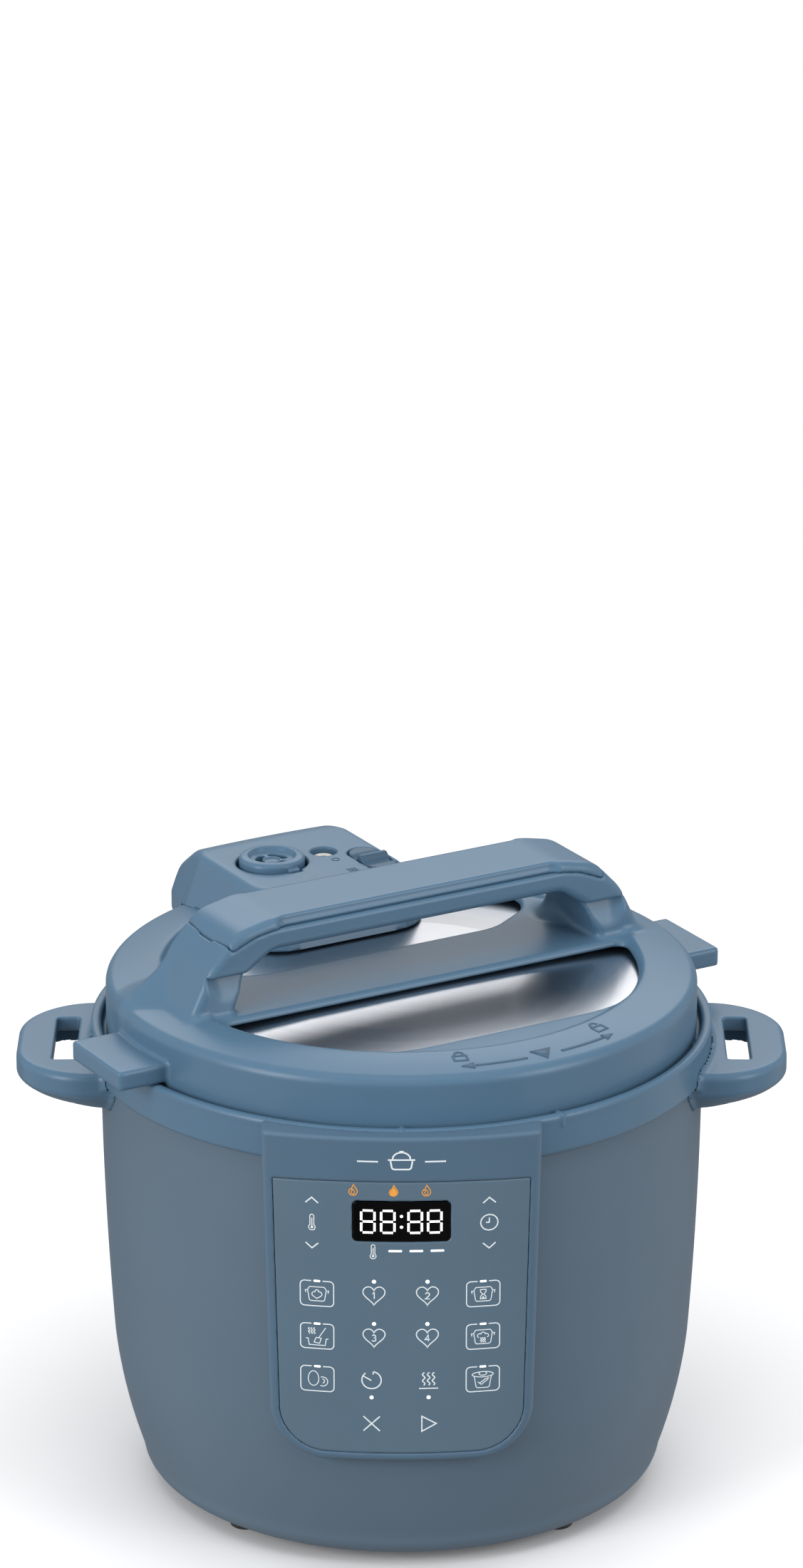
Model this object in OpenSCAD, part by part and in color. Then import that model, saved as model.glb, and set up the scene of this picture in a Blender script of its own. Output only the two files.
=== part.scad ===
// Electric pressure cooker: a round base with a heated steel chamber and a touch panel,
// a lift-out inner pot, and a bayonet lid with a steam release block. Millimetres, +Z up.
// The origin is on the table under the cooker's axis, and the control panel faces -Y.

/* [Base] */
// Height of the collar's top edge above the table
collar_top = 195; // [190:1:205]
// Outside radius of the collar
collar_r = 124; // [124:0.5:126]
// Height of the collar's outer band
band_h = 15.5; // [14:0.5:17]
// Outside radius of the body just under the collar
body_r = 120.4; // [119.5:0.1:120.6]
// How much the body narrows from the collar to its crease
body_draw = 4.2; // [3:0.1:5]
// Height of the crease where the lower body starts to taper
crease_z = 62; // [56:1:66]
// Wall thickness of the plastic shells
wall = 2.2; // [1.8:0.1:2.4]
// Distance from the axis to the tip of each side handle
handle_tip = 154; // [150:1:158]
// Half depth of each side handle
handle_half = 41; // [38:0.5:44]
// Thickness of each side handle
handle_h = 20; // [18:0.5:22]
// Drop from the collar's top edge to the handles' top face
handle_drop = 10.5; // [9:0.5:12]

/* [Control panel] */
// Half width of the panel housing at its top
panel_half = 53.8; // [52:0.2:55]
// Height of the panel housing's lower edge
panel_low = 52; // [50:1:58]
// Distance from the axis to the panel's front at its top
panel_front = 131; // [129:0.5:133]
// Radius of the panel's curved front
panel_curve = 190; // [180:5:220]
// Width of the display window
window_w = 37.6; // [34:0.2:40]
// Height of the display window
window_h = 17.2; // [15:0.2:19]

/* [Lock ring and pot] */
// Inside radius of the lock ring
ring_r = 101; // [100.5:0.1:101.5]
// Radius at the lock ring's lug tips
lug_r = 110.5; // [109.5:0.1:111]
// Height of the inner pot
pot_h = 125; // [120:1:126]
// Outside radius of the inner pot's wall
pot_r = 96; // [94:0.5:97]
// Radius of the inner pot's rolled rim
rim_r = 105.8; // [104:0.2:106.5]

/* [Lid] */
// Outside radius of the lid
lid_r = 118; // [117.5:0.1:118.5]
// Angle from the lid's locked position to its open position
open_turn = 30; // [28:1:31]
// Distance from the axis to the tip of each lid fin
fin_tip = 137.8; // [134:0.2:140]
// Height of the lid handle's top face above the table
grip_top = 252; // [248:1:258]
// Height of the valve block's top face above the table
block_top = 236; // [234:0.5:238]

/* [Hidden] */
$fn = 96;
eps = 0.01;

// Levels, from the table up
foot_h = 5;
floor_z = collar_top - 4.8;
band_z = collar_top - band_h;
ring_top = collar_top + 5;
ring_low = collar_top - 5.7;
lug_low = collar_top - 0.5;
handle_z = collar_top - handle_drop;
gap = 0.3;
pot_top = ring_top + gap + 1.4;
pot_z = pot_top - pot_h;
plate_top = pot_z - gap;
plate_z = plate_top - 10.4;
chamber_z = plate_z - 10;
panel_low_front = 121;
panel_tilt = atan((panel_front - panel_low_front) / (collar_top - panel_low));
window_z = 159.5;
lid_low = floor_z + gap;
pan_edge = collar_top + 15.4;
cover_z = collar_top + 22;
skirt_r = lid_r - 4;

// Screws and the holes they cut their thread in or pass through
screw_r = 1.55;
tap_r = 1.6;
clear_r = 1.7;
head_r = 3.2;
head_h = 2;

// Valve positions on the lid, seen from above with the lid locked
steam_x = -13.2;
steam_y = 82.7;
float_x = 11;
float_y = 83;
rocker_x = 24.7;
rocker_y = 66.3;
rocker_z = block_top - 4.5;

// Six lock lugs, one every 60 degrees; the front one is two halves with a notch between them
lug_first = 36;
lug_count = 6;
lug_pitch = 360 / lug_count;
front_lug = 4;

blue = "#55697d";
dark_blue = "#46596b";
steel = "#c9ccd0";
cast_grey = "#4a4a4c";
black = "#17181a";
silicone = "#d9dcdc";
board_green = "#1f5b3a";

// Body outside radius at a height, above and below the crease
function upper_r(z) = body_r - body_draw * pow((band_z - z) / (band_z - crease_z), 2);
function lower_r(z) = body_r - body_draw - 0.1 * (crease_z - z) - 0.0026 * pow(crease_z - z, 2);
function shell_r(z) = z >= crease_z ? upper_r(z) : lower_r(z);
shell_turn_z = 14;
shell_turn_r = 9;
shell_steps = 8;
shell_top = band_z + 6;

// Outside of the body as a list of points from its bottom edge to its top, grown outwards
function shell_points(grow) = concat(
  [for (a = [90:-15:15]) [shell_r(shell_turn_z) - shell_turn_r + (shell_turn_r + grow) * cos(a),
                          shell_turn_z - (shell_turn_r + grow) * sin(a)]],
  [for (i = [0:shell_steps]) let (z = shell_turn_z + (crease_z - shell_turn_z) * i / shell_steps)
    [shell_r(z) + grow, z]],
  [for (i = [1:shell_steps]) let (z = crease_z + (band_z - crease_z) * i / shell_steps)
    [shell_r(z) + grow, z]]);

function reversed(list) = [for (i = [len(list) - 1:-1:0]) list[i]];

// Plain ring between two radii and two heights
module ring(r_in, r_out, z0, z1) {
  translate([0, 0, z0])
    difference() {
      cylinder(r = r_out, h = z1 - z0);
      translate([0, 0, -1]) cylinder(r = r_in, h = z1 - z0 + 2);
    }
}

// Part of a ring between two angles
module ring_part(r_in, r_out, a0, a1, z0, z1) {
  reach = r_out * 1.5;
  middle = (a0 + a1) / 2;
  intersection() {
    ring(r_in, r_out, z0, z1);
    translate([0, 0, z0 - 1])
      linear_extrude(z1 - z0 + 2)
        polygon([[0, 0], [reach * cos(a0), reach * sin(a0)],
                 [reach * cos(middle), reach * sin(middle)], [reach * cos(a1), reach * sin(a1)]]);
  }
}

// Box with round corners seen from above, centred on the axis
module round_box(w, d, r, z0, z1) {
  translate([0, 0, z0])
    linear_extrude(z1 - z0) round_outline(w, d, r);
}

module round_outline(w, d, r) {
  square([w - 2 * r, d], center = true);
  square([w, d - 2 * r], center = true);
  for (x = [-1, 1], y = [-1, 1])
    translate([x * (w / 2 - r), y * (d / 2 - r)]) circle(r);
}

// Upright rod
module rod(x, y, r, z0, z1) {
  translate([x, y, z0]) cylinder(r = r, h = z1 - z0);
}

// ---------------------------------------------------------------- base shells

module shell_solid(grow) {
  outside = shell_points(grow);
  rotate_extrude() polygon(concat([[0, outside[0][1]]], outside, [[0, band_z]]));
}

inlet_z = 31;
inlet_w = 28;
inlet_h = 22;
base_opening_r = 70;
base_plate_r = 95;
base_plate_h = 3;
base_screw_ring = 78;
flange_z = foot_h + 3.2;
flange_h = 4;
rear_start = 80;
wall_reach = 40;
board_window_half = 46;
board_window_low = 64;
board_window_high = 172;

module outer_shell() {
  outside = shell_points(0);
  inside = [for (p = outside) if (p[1] > flange_z + flange_h + 2) [p[0] - wall, p[1]]];
  color(blue) difference() {
    rotate_extrude() polygon(concat(
      [[base_plate_r + gap, foot_h]], outside, [[body_r, shell_top], [body_r - wall, shell_top]],
      reversed(inside),
      [[base_plate_r + 4, flange_z + flange_h], [base_opening_r, flange_z + flange_h],
       [base_opening_r, flange_z], [base_plate_r + gap, flange_z]]));
    translate([-board_window_half, -body_r - 5, board_window_low])
      cube([2 * board_window_half, wall_reach, board_window_high - board_window_low]);
    translate([-inlet_w / 2 - gap, rear_start, inlet_z - inlet_h / 2 - gap])
      cube([inlet_w + 2 * gap, wall_reach, inlet_h + 2 * gap]);
    for (a = [0:90:270]) rotate(a) rod(base_screw_ring, 0, tap_r, flange_z - 1, flange_z + flange_h + 1);
    for (y = [-handle_screw_y, handle_screw_y])
      translate([0, y, handle_screw_z]) rotate([0, 90, 0])
        cylinder(r = tap_r, h = 2 * body_r + 19.2, center = true);
  }
}

handle_screw_y = 30;
handle_screw_z = handle_z - 8;
raised_rim_start = 42;
raised_rim_end = 152;
raised_rim_h = 5.6;

// Steel flange of the heating chamber, let into the collar's floor
flange_r = lug_r + 2.2;
flange_t = 1.2;
flange_rise = 0.6;

// The collar grips the shell's top edge between its outer skin and an inner tongue
module top_collar() {
  lip_in = collar_r - 4;
  shell_slot = body_r + gap;
  tongue = body_r - wall - gap;
  tongue_in = tongue - 2;
  floor_low = floor_z - 2.4;
  floor_in = lug_r - 0.7;
  rebate = floor_z - flange_t + flange_rise - 0.05;
  color(blue) {
    rotate_extrude() polygon([
      [collar_r, band_z], [collar_r, collar_top - 1.4], [collar_r - 1.4, collar_top],
      [lip_in + 0.9, collar_top], [lip_in, collar_top - 0.9], [lip_in, floor_z],
      [flange_r + gap, floor_z], [flange_r + gap, rebate], [floor_in, rebate], [floor_in, floor_low],
      [tongue_in, floor_low], [tongue_in, band_z + 2], [tongue, band_z + 2],
      [tongue, floor_low], [shell_slot, floor_low], [shell_slot, band_z]]);
    ring_part(lip_in + 1, collar_r - 0.2, raised_rim_start, raised_rim_end,
              collar_top - 0.5, collar_top + raised_rim_h);
  }
}

slot_x0 = 129.6;
slot_w = 9.3;
slot_half = 22.5;
slot_wall = 2.5;
slot_h = 6;
handle_root = 80;
handle_round = 34;
handle_screw_x = 112.6;
handle_screw_h = 18;
boss_x = 110;
boss_w = 17.5;
boss_half = 38;

module handle_outline(inset) {
  r = handle_round - inset;
  w = handle_tip - handle_root - inset;
  translate([handle_root + w / 2, 0]) round_outline(w, 2 * (handle_half - inset), r);
}

// Right-hand side handle, with a slot that holds a lid fin
module side_handle() {
  top_z = handle_z;
  low_z = handle_z - handle_h;
  difference() {
    union() {
      difference() {
        hull() {
          translate([0, 0, top_z - 1.2]) linear_extrude(1.2) handle_outline(0.8);
          translate([0, 0, top_z - 8]) linear_extrude(5) handle_outline(0);
          translate([0, 0, low_z + 4]) linear_extrude(0.1) handle_outline(3);
          translate([0, 0, low_z]) linear_extrude(0.1) handle_outline(9);
        }
        translate([0, 0, low_z - 1]) linear_extrude(handle_h - 3) handle_outline(12);
      }
      translate([slot_x0 - slot_wall, -slot_half - slot_wall, top_z - slot_h])
        cube([slot_w + 2 * slot_wall, 2 * (slot_half + slot_wall), slot_h - 1]);
      translate([boss_x, -boss_half, low_z + 5]) cube([boss_w, 2 * boss_half, handle_h - 6.5]);
    }
    translate([slot_x0, -slot_half, low_z - 5]) cube([slot_w, 2 * slot_half, handle_h + 10]);
    translate([0, 0, band_z - eps]) cylinder(r = collar_r + 0.15, h = 40);
    translate([0, 0, band_z - 60]) cylinder(r = body_r + 0.25, h = 60 + eps);
    for (y = [-handle_screw_y, handle_screw_y])
      translate([boss_x - 10, y, handle_screw_z]) rotate([0, 90, 0]) cylinder(r = tap_r, h = 35);
  }
}

module handle_left() { color(blue) mirror([1, 0, 0]) side_handle(); }

module handle_right() { color(blue) side_handle(); }

module handle_screws() {
  color(steel) for (side = [-1, 1], y = [-handle_screw_y, handle_screw_y])
    translate([side * handle_screw_x, y, handle_screw_z]) rotate([0, side * 90, 0]) {
      cylinder(r = 1.5, h = handle_screw_h);
      translate([0, 0, -head_h]) cylinder(r = head_r, h = head_h);
    }
}

// ---------------------------------------------------------------- lock ring and heater

lug_width = 26;
half_lug_width = 10.5;

// Lug with stepped ends, its middle and its width as angles
module lug(middle, width) {
  cut = 2.5;
  ring_part(ring_r + 1, lug_r - 2.2, middle - width / 2, middle + width / 2, lug_low, ring_top - 0.3);
  ring_part(ring_r + 1, lug_r, middle - width / 2 + cut, middle + width / 2 - cut, lug_low, ring_top - 0.3);
}

module lock_ring() {
  neck_r = ring_r + 4.2;
  color(cast_grey) {
    rotate_extrude() polygon([
      [ring_r, ring_low], [neck_r, ring_low], [neck_r, ring_top - 0.8], [neck_r - 0.8, ring_top],
      [ring_r + 0.8, ring_top], [ring_r, ring_top - 0.8]]);
    for (i = [0:lug_count - 1])
      if (i != front_lug) lug(lug_first + i * lug_pitch, lug_width);
    lug(267.5, half_lug_width);
    lug(288, half_lug_width);
  }
}

chamber_r = 99;
chamber_wall = 1.2;
chamber_bore = 19;
chamber_floor = chamber_z + chamber_wall;
plate_screw_ring = 75;
terminal_x = 14;
terminal_y = -56.3;

module heat_chamber() {
  step_r = lug_r - 1.1;
  flange_top = floor_z + flange_rise;
  color(steel) difference() {
    rotate_extrude() polygon([
      [chamber_bore, chamber_z], [chamber_r + 1, chamber_z], [chamber_r + 1, ring_low - 1.4],
      [step_r, ring_low - 1.4], [step_r, flange_top - flange_t], [flange_r, flange_top - flange_t],
      [flange_r, flange_top], [step_r - chamber_wall, flange_top], [step_r - chamber_wall, ring_low - 0.2],
      [chamber_r, ring_low - 0.2], [chamber_r, chamber_floor], [chamber_bore, chamber_floor]]);
    for (a = [30:120:270]) rotate(a) rod(plate_screw_ring, 0, 2.3, chamber_z - 1, chamber_z + 3);
    for (x = [-terminal_x, terminal_x]) rod(x, terminal_y, 5, chamber_z - 1, chamber_z + 3);
  }
}

plate_r = 85;
plate_bore = 15;

module heating_plate() {
  color("#a9adb2") difference() {
    rotate_extrude() polygon([
      [plate_bore, plate_z], [plate_r - 3, plate_z], [plate_r, plate_z + 3], [plate_r, plate_top - 1.6],
      [plate_r - 1.5, plate_top], [plate_bore + 0.6, plate_top], [plate_bore, plate_top - 0.6]]);
    for (a = [30:120:270]) rotate(a) rod(plate_screw_ring, 0, tap_r, plate_z - 1, plate_z + 6);
  }
}

element_ring_r = 58;
element_r = 4;

module heating_element() {
  color("#6e7276") {
    translate([0, 0, plate_z - element_r - 0.2])
      rotate_extrude() translate([element_ring_r, 0]) circle(element_r, $fn = 48);
    for (x = [-terminal_x, terminal_x]) rod(x, terminal_y, 3, chamber_z - 8, plate_z - element_r);
  }
}

module plate_spacers() {
  color(steel) for (a = [30:120:270]) rotate(a) translate([plate_screw_ring, 0, 0])
    ring(2.3, 5, chamber_floor, plate_z);
}

module plate_screws() {
  color(steel) for (a = [30:120:270]) rotate(a) {
    rod(plate_screw_ring, 0, screw_r, chamber_z, plate_z + 5.5);
    rod(plate_screw_ring, 0, 3.6, chamber_z - 2.4, chamber_z);
  }
}

sensor_r = 10.94;
sensor_bore = 11;
cup_wall = 1.3;
cup_z = chamber_z - 7;
cup_top = plate_z - 0.5;
button_r = 14;
button_low = plate_top - 3.2;

module sensor_housing() {
  color("#8d9196") {
    ring(sensor_bore, sensor_bore + cup_wall, cup_z, cup_top);
    ring(3, sensor_bore + cup_wall, cup_z - 1.4, cup_z + eps);
    ring(sensor_bore + 1, chamber_bore + 5, chamber_floor, chamber_floor + 1.2);
  }
}

module sensor_cap() {
  color("#b9bdc1") {
    ring(sensor_r - cup_wall, sensor_r, chamber_z + 4, plate_top - 3);
    rotate_extrude() polygon([
      [0, button_low], [button_r, button_low], [button_r, plate_top - 0.8], [button_r - 0.8, plate_top],
      [0, plate_top]]);
  }
}

spring_r = 8;
spring_wire = 0.7;
spring_turns = 5;
spring_z0 = cup_z + spring_wire + 0.1;
spring_z1 = button_low - spring_wire - 0.1;

// Coil spring swept along a helix
module sensor_spring() {
  sides = 8;
  steps = spring_turns * 20;
  points = [for (i = [0:steps], j = [0:sides - 1])
    let (t = i / steps, turn = 360 * spring_turns * t, around = 360 * j / sides,
         r = spring_r + spring_wire * cos(around))
    [r * cos(turn), r * sin(turn), spring_z0 + (spring_z1 - spring_z0) * t + spring_wire * sin(around)]];
  skin = [for (i = [0:steps - 1], j = [0:sides - 1])
    [i * sides + j, (i + 1) * sides + j, (i + 1) * sides + (j + 1) % sides, i * sides + (j + 1) % sides]];
  first = [[for (j = [0:sides - 1]) j]];
  last = [[for (j = [sides - 1:-1:0]) steps * sides + j]];
  color(steel) polyhedron(points = points, faces = concat(skin, first, last));
}

fuse_r = 2.8;
fuse_h = 18;
fuse_y = 36;

// Thermal fuse lying under the chamber's floor
module thermal_fuse() {
  color("#d8d2c4") translate([-fuse_h / 2, fuse_y, chamber_z - fuse_r - 0.4])
    rotate([0, 90, 0]) cylinder(r = fuse_r, h = fuse_h);
}

leg_ring = 64.5;
leg_r = 4.5;
leg_bore = 2.4;

module chamber_legs() {
  color(steel) for (a = [90:120:330]) rotate(a) translate([leg_ring, 0, 0])
    ring(leg_bore, leg_r, foot_h + base_plate_h, chamber_z);
}

// ---------------------------------------------------------------- control panel

panel_round = 25;
// Distance from the axis to a plane in front of every panel piece, where their cuts start
cut_start = 150;

// Front view outline of the panel, drawn with X across and Y up
module panel_outline(inset, top) {
  r = panel_round - inset;
  low_half = panel_half - 3 - inset;
  low = panel_low + inset;
  polygon([[-panel_half + inset, top], [-low_half, low + r], [low_half, low + r], [panel_half - inset, top]]);
  translate([-low_half + r, low]) square([2 * (low_half - r), r + eps]);
  for (x = [-1, 1]) translate([x * (low_half - r), low + r]) circle(r);
}

// Upright cylinder whose near side is the panel's curved front, grown by an amount
module panel_front_cylinder(grow) {
  translate([0, panel_curve - panel_front, collar_top])
    rotate([panel_tilt, 0, 0]) cylinder(r = panel_curve + grow, h = 420, center = true, $fn = 180);
}

module panel_block(inset, top) {
  translate([0, -80, 0]) rotate([90, 0, 0]) linear_extrude(70) panel_outline(inset, top);
}

overlay_top = collar_top - 18.5;
overlay_inset = 3.8;
film_deep = 0.95;

module panel_housing() {
  color(blue) difference() {
    intersection() {
      panel_block(0, collar_top);
      panel_front_cylinder(0);
    }
    shell_solid(0.15);
    translate([0, 0, band_z - eps]) cylinder(r = collar_r + 0.15, h = 40);
    difference() {
      panel_block(overlay_inset, overlay_top);
      panel_front_cylinder(-1);
    }
    intersection() {
      translate([-board_window_half, -cut_start, board_window_low])
        cube([2 * board_window_half, 90, board_window_high - board_window_low]);
      panel_front_cylinder(-3);
    }
    translate([-window_w / 2 + 1, -cut_start, window_z - window_h / 2 + 1])
      cube([window_w - 2, 60, window_h - 2]);
  }
}

module control_overlay() {
  color(dark_blue) difference() {
    intersection() {
      panel_block(overlay_inset + 0.25, overlay_top - 0.25);
      panel_front_cylinder(-0.1);
    }
    panel_front_cylinder(-film_deep);
    translate([-window_w / 2 - 0.1, -cut_start, window_z - window_h / 2 - 0.1])
      cube([window_w + 0.2, 60, window_h + 0.2]);
  }
}

module display_window() {
  color(black) difference() {
    intersection() {
      translate([-window_w / 2, -cut_start, window_z - window_h / 2]) cube([window_w, 60, window_h]);
      panel_front_cylinder(-0.1);
    }
    panel_front_cylinder(-film_deep);
  }
}

board_t = 1.6;
board_w = 86;
board_h = 104;
board_y = -111.6;
board_low = 66;
display_inset = 1.4;
display_deep = 13.6;

// Digit block standing on the control board, just behind the window
module display_module() {
  color(black)
    translate([-window_w / 2 + display_inset, board_y - 0.4 - display_deep,
               window_z - window_h / 2 + display_inset])
      cube([window_w - 2 * display_inset, display_deep, window_h - 2 * display_inset]);
}

module control_board() {
  color(board_green) translate([-board_w / 2, board_y, board_low]) cube([board_w, board_t, board_h]);
}

sensor_box = [16, 10, 13];

// Magnetic switch under the collar that senses a locked lid
module lid_sensor() {
  color(black) translate([-sensor_box[0] / 2, -113, collar_top - 22]) cube(sensor_box);
}

// ---------------------------------------------------------------- base electrics and bottom

board_z = 22;
power_board_w = 90;
power_board_d = 70;
power_board_y = -22;
post_x = 38;
post_ys = [-15, 41];

module power_board() {
  color(board_green) translate([-power_board_w / 2, power_board_y, board_z])
    cube([power_board_w, power_board_d, board_t]);
}

// Relay, transformer, two capacitors, heat sink and connector on the power board
module board_parts() {
  top = board_z + board_t;
  color(black) translate([-38, 14, top]) cube([20, 16, 16]);
  color("#c9a24a") translate([4, 8, top]) cube([24, 22, 18]);
  color("#2c3e66") for (x = [-10, -24]) rod(x, -8, 5, top, top + 16);
  color(steel) translate([20, -18, top]) cube([18, 10, 14]);
  color("#e8e8e4") translate([-40, -18, top]) cube([6, 26, 9]);
}

inlet_front = 109.8;
inlet_d = 24;
socket_w = 22;
socket_h = 15;
socket_d = 16;
pin_pitch = 7;
pin_w = 2;
pin_h = 4;
pin_slack = 0.05;

// Height of an inlet pin's middle; the earth pin in the middle sits higher
function inlet_pin_z(x) = inlet_z - (x == 0 ? 0.6 : 2.6);

module pin_block(w, d, h) {
  translate([-w / 2, 0, -h / 2]) cube([w, d, h]);
}

module power_inlet() {
  color(black) difference() {
    translate([-inlet_w / 2, inlet_front - inlet_d, inlet_z - inlet_h / 2]) cube([inlet_w, inlet_d, inlet_h]);
    translate([-socket_w / 2, inlet_front - socket_d, inlet_z - socket_h / 2])
      cube([socket_w, socket_d + 1, socket_h]);
    for (x = [-pin_pitch, 0, pin_pitch])
      translate([x, inlet_front - inlet_d - 1, inlet_pin_z(x)])
        pin_block(pin_w + 2 * pin_slack, 12, pin_h + 2 * pin_slack);
  }
}

module inlet_pins() {
  color(steel) for (x = [-pin_pitch, 0, pin_pitch])
    translate([x, inlet_front - inlet_d - 4, inlet_pin_z(x)]) pin_block(pin_w, 21, pin_h);
}

foot_ring = 88;
foot_r = 7.4;
foot_pin_r = 2.5;
vent_pitch = 11;
vent_span = 44;
vent_w = 4;
vent_length = 58;

// Bottom cover with air slots, and posts under the power board
module base_plate() {
  cut_low = foot_h - 1;
  cut_high = foot_h + base_plate_h + 1;
  color(black) difference() {
    union() {
      translate([0, 0, foot_h]) cylinder(r = base_plate_r, h = base_plate_h);
      for (x = [-post_x, post_x], y = post_ys) rod(x, y, 3, foot_h + 2, board_z);
    }
    for (a = [0:90:270]) rotate(a) rod(base_screw_ring, 0, clear_r, cut_low, cut_high);
    for (a = [45:90:315]) rotate(a) rod(foot_ring, 0, foot_pin_r + 0.1, cut_low, cut_high);
    for (x = [-vent_span:vent_pitch:vent_span])
      translate([x, -4, 0]) round_box(vent_w, vent_length, vent_w / 2 - 0.1, cut_low, cut_high);
  }
}

module base_screws() {
  color(steel) for (a = [0:90:270]) rotate(a) {
    rod(base_screw_ring, 0, screw_r, foot_h - eps, flange_z + flange_h - 0.5);
    rod(base_screw_ring, 0, 3.8, foot_h - 1.8, foot_h);
  }
}

module feet() {
  color(black) for (a = [45:90:315]) rotate(a) translate([foot_ring, 0, 0]) {
    rotate_extrude() polygon([[0, 0], [foot_r - 1.2, 0], [foot_r - 0.4, 0.8], [foot_r, foot_h], [0, foot_h]]);
    rod(0, 0, foot_pin_r, foot_h - eps, foot_h + base_plate_h);
  }
}

// ---------------------------------------------------------------- inner pot

pot_wall = 1;
pot_corner = 12;
pot_base_r = 80;
pot_base_h = 3.6;

module inner_pot() {
  low = pot_z + pot_base_h;
  mid = pot_r - pot_corner;
  rim_low = pot_top - 1.4;
  outer = [for (a = [-90:10:0]) [mid + pot_corner * cos(a), low + pot_corner + pot_corner * sin(a)]];
  inner = [for (a = [0:-10:-90])
    [mid + (pot_corner - pot_wall) * cos(a), low + pot_corner + (pot_corner - pot_wall) * sin(a)]];
  color(steel) rotate_extrude() polygon(concat(
    [[0, low]], outer,
    [[pot_r, rim_low - 2.4], [pot_r + 0.7, rim_low - 0.7], [pot_r + 2.4, rim_low], [rim_r - 0.7, rim_low],
     [rim_r, rim_low + 0.7], [rim_r - 0.7, pot_top], [pot_r + 1.6, pot_top], [pot_r - 0.4, pot_top - 0.8],
     [pot_r - pot_wall, pot_top - 3]],
    inner, [[0, low + pot_wall]]));
}

module pot_base() {
  color("#8b8f93") rotate_extrude() polygon([
    [0, pot_z], [pot_base_r - 1.5, pot_z], [pot_base_r, pot_z + 1.5], [pot_base_r - 1, pot_z + pot_base_h],
    [0, pot_z + pot_base_h]]);
}

// ---------------------------------------------------------------- lid

// The lid is drawn in its locked position and turned to its open position
module on_lid() { rotate(open_turn) children(); }

module sealing_ring() {
  low = pot_top + gap;
  color(silicone) rotate_extrude() polygon([
    [100.2, low + 0.9], [101, low], [106.5, low], [108, low + 1.2], [112.2, low + 2], [112.4, low + 4.3],
    [111.4, low + 6], [109.8, low + 6.8], [101, low + 6.9], [100.2, low + 6.2]]);
}

valve_hole_r = 5.2;
guide_r = 3.6;
stud_x = 96;
stud_y = 3;
stud_r = 2;

module lid_holes(grow) {
  rod(steam_x, steam_y, valve_hole_r + grow, lid_low, block_top + 10);
  rod(float_x, float_y, guide_r + grow, lid_low, block_top + 10);
}

pan_wall = 0.8;
pan_lug_in = 107;

module lid_pan() {
  top = pan_edge + 1.6;
  color(steel) on_lid() {
    difference() {
      rotate_extrude() polygon([
        [skirt_r, lid_low], [skirt_r, pan_edge - 3.9], [skirt_r - 1, pan_edge - 1.4],
        [skirt_r - 3.5, pan_edge], [60, top - 0.4], [0, top], [0, top - pan_wall],
        [60, top - 0.4 - pan_wall], [skirt_r - 3.8, pan_edge - pan_wall],
        [skirt_r - 1.7, pan_edge - 2], [skirt_r - pan_wall, pan_edge - 4.1], [skirt_r - pan_wall, lid_low]]);
      lid_holes(0.05);
    }
    for (i = [0:lug_count - 1])
      ring_part(pan_lug_in, skirt_r - pan_wall / 2, lug_first + i * lug_pitch - 9.5,
                lug_first + i * lug_pitch + 9.5, floor_z + 1, lug_low - 0.7);
  }
}

window_r = 93.8;
bar_back = 21.2;
bar_front = -15.2;
block_half = 42.4;
block_front = 41.9;
block_back = 133.7;
block_back_half = 30;
block_round = 20;
taper_y = 112;

// Seen from above: the window behind the handle and the window in front of it
module window_outlines() {
  intersection() {
    circle(window_r);
    union() {
      translate([-window_r, -79.7]) square([2 * window_r, 60.1]);
      difference() {
        polygon([[-82, 52.6], [-64, 27], [-52, 20.4], [52, 20.4], [64, 27], [82, 52.6],
                 [82, 84.5], [-82, 84.5]]);
        block_outline(0);
      }
    }
  }
}

// Seen from above: the valve block, narrowing behind its parallel sides
module block_outline(inset) {
  r = block_round - inset;
  half = block_half - inset;
  back_half = block_back_half - inset;
  front = block_front + inset;
  back = block_back - inset;
  translate([-half, front + r]) square([2 * half, taper_y - front - r]);
  translate([-half + r, front]) square([2 * (half - r), r + eps]);
  for (x = [-1, 1]) translate([x * (half - r), front + r]) circle(r);
  polygon([[-half, taper_y - eps], [-back_half - 4, taper_y + 16 - inset], [-back_half, back],
           [back_half, back], [back_half + 4, taper_y + 16 - inset], [half, taper_y - eps]]);
}

bar_low = grip_top - 13;
grip_half = 86.3;

// Side view of the handle arch, X across and Y up; the grip is its top plate
module arch_outline() {
  polygon([[-106, cover_z - 1], [-93, cover_z + 19], [-82, cover_z + 31], [-70, grip_top],
           [70, grip_top], [82, cover_z + 31], [93, cover_z + 19], [106, cover_z - 1],
           [86, cover_z - 1], [78, cover_z + 15], [66, bar_low],
           [-66, bar_low], [-78, cover_z + 15], [-86, cover_z - 1]]);
}

module grip_outline(grow) {
  half = grip_half + grow;
  polygon([[-half, grip_top + 2], [-half, cover_z + 24], [-80, cover_z + 26 - grow],
           [-68, grip_top - 4.5 - grow], [68, grip_top - 4.5 - grow], [80, cover_z + 26 - grow],
           [half, cover_z + 24], [half, grip_top + 2]]);
}

module across_bar() {
  translate([0, bar_back, 0]) rotate([90, 0, 0]) linear_extrude(bar_back - bar_front) children();
}

grip_screw_x = 55;
grip_screw_y = 3;
fin_half = 20.2;
fin_h = 8;

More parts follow.
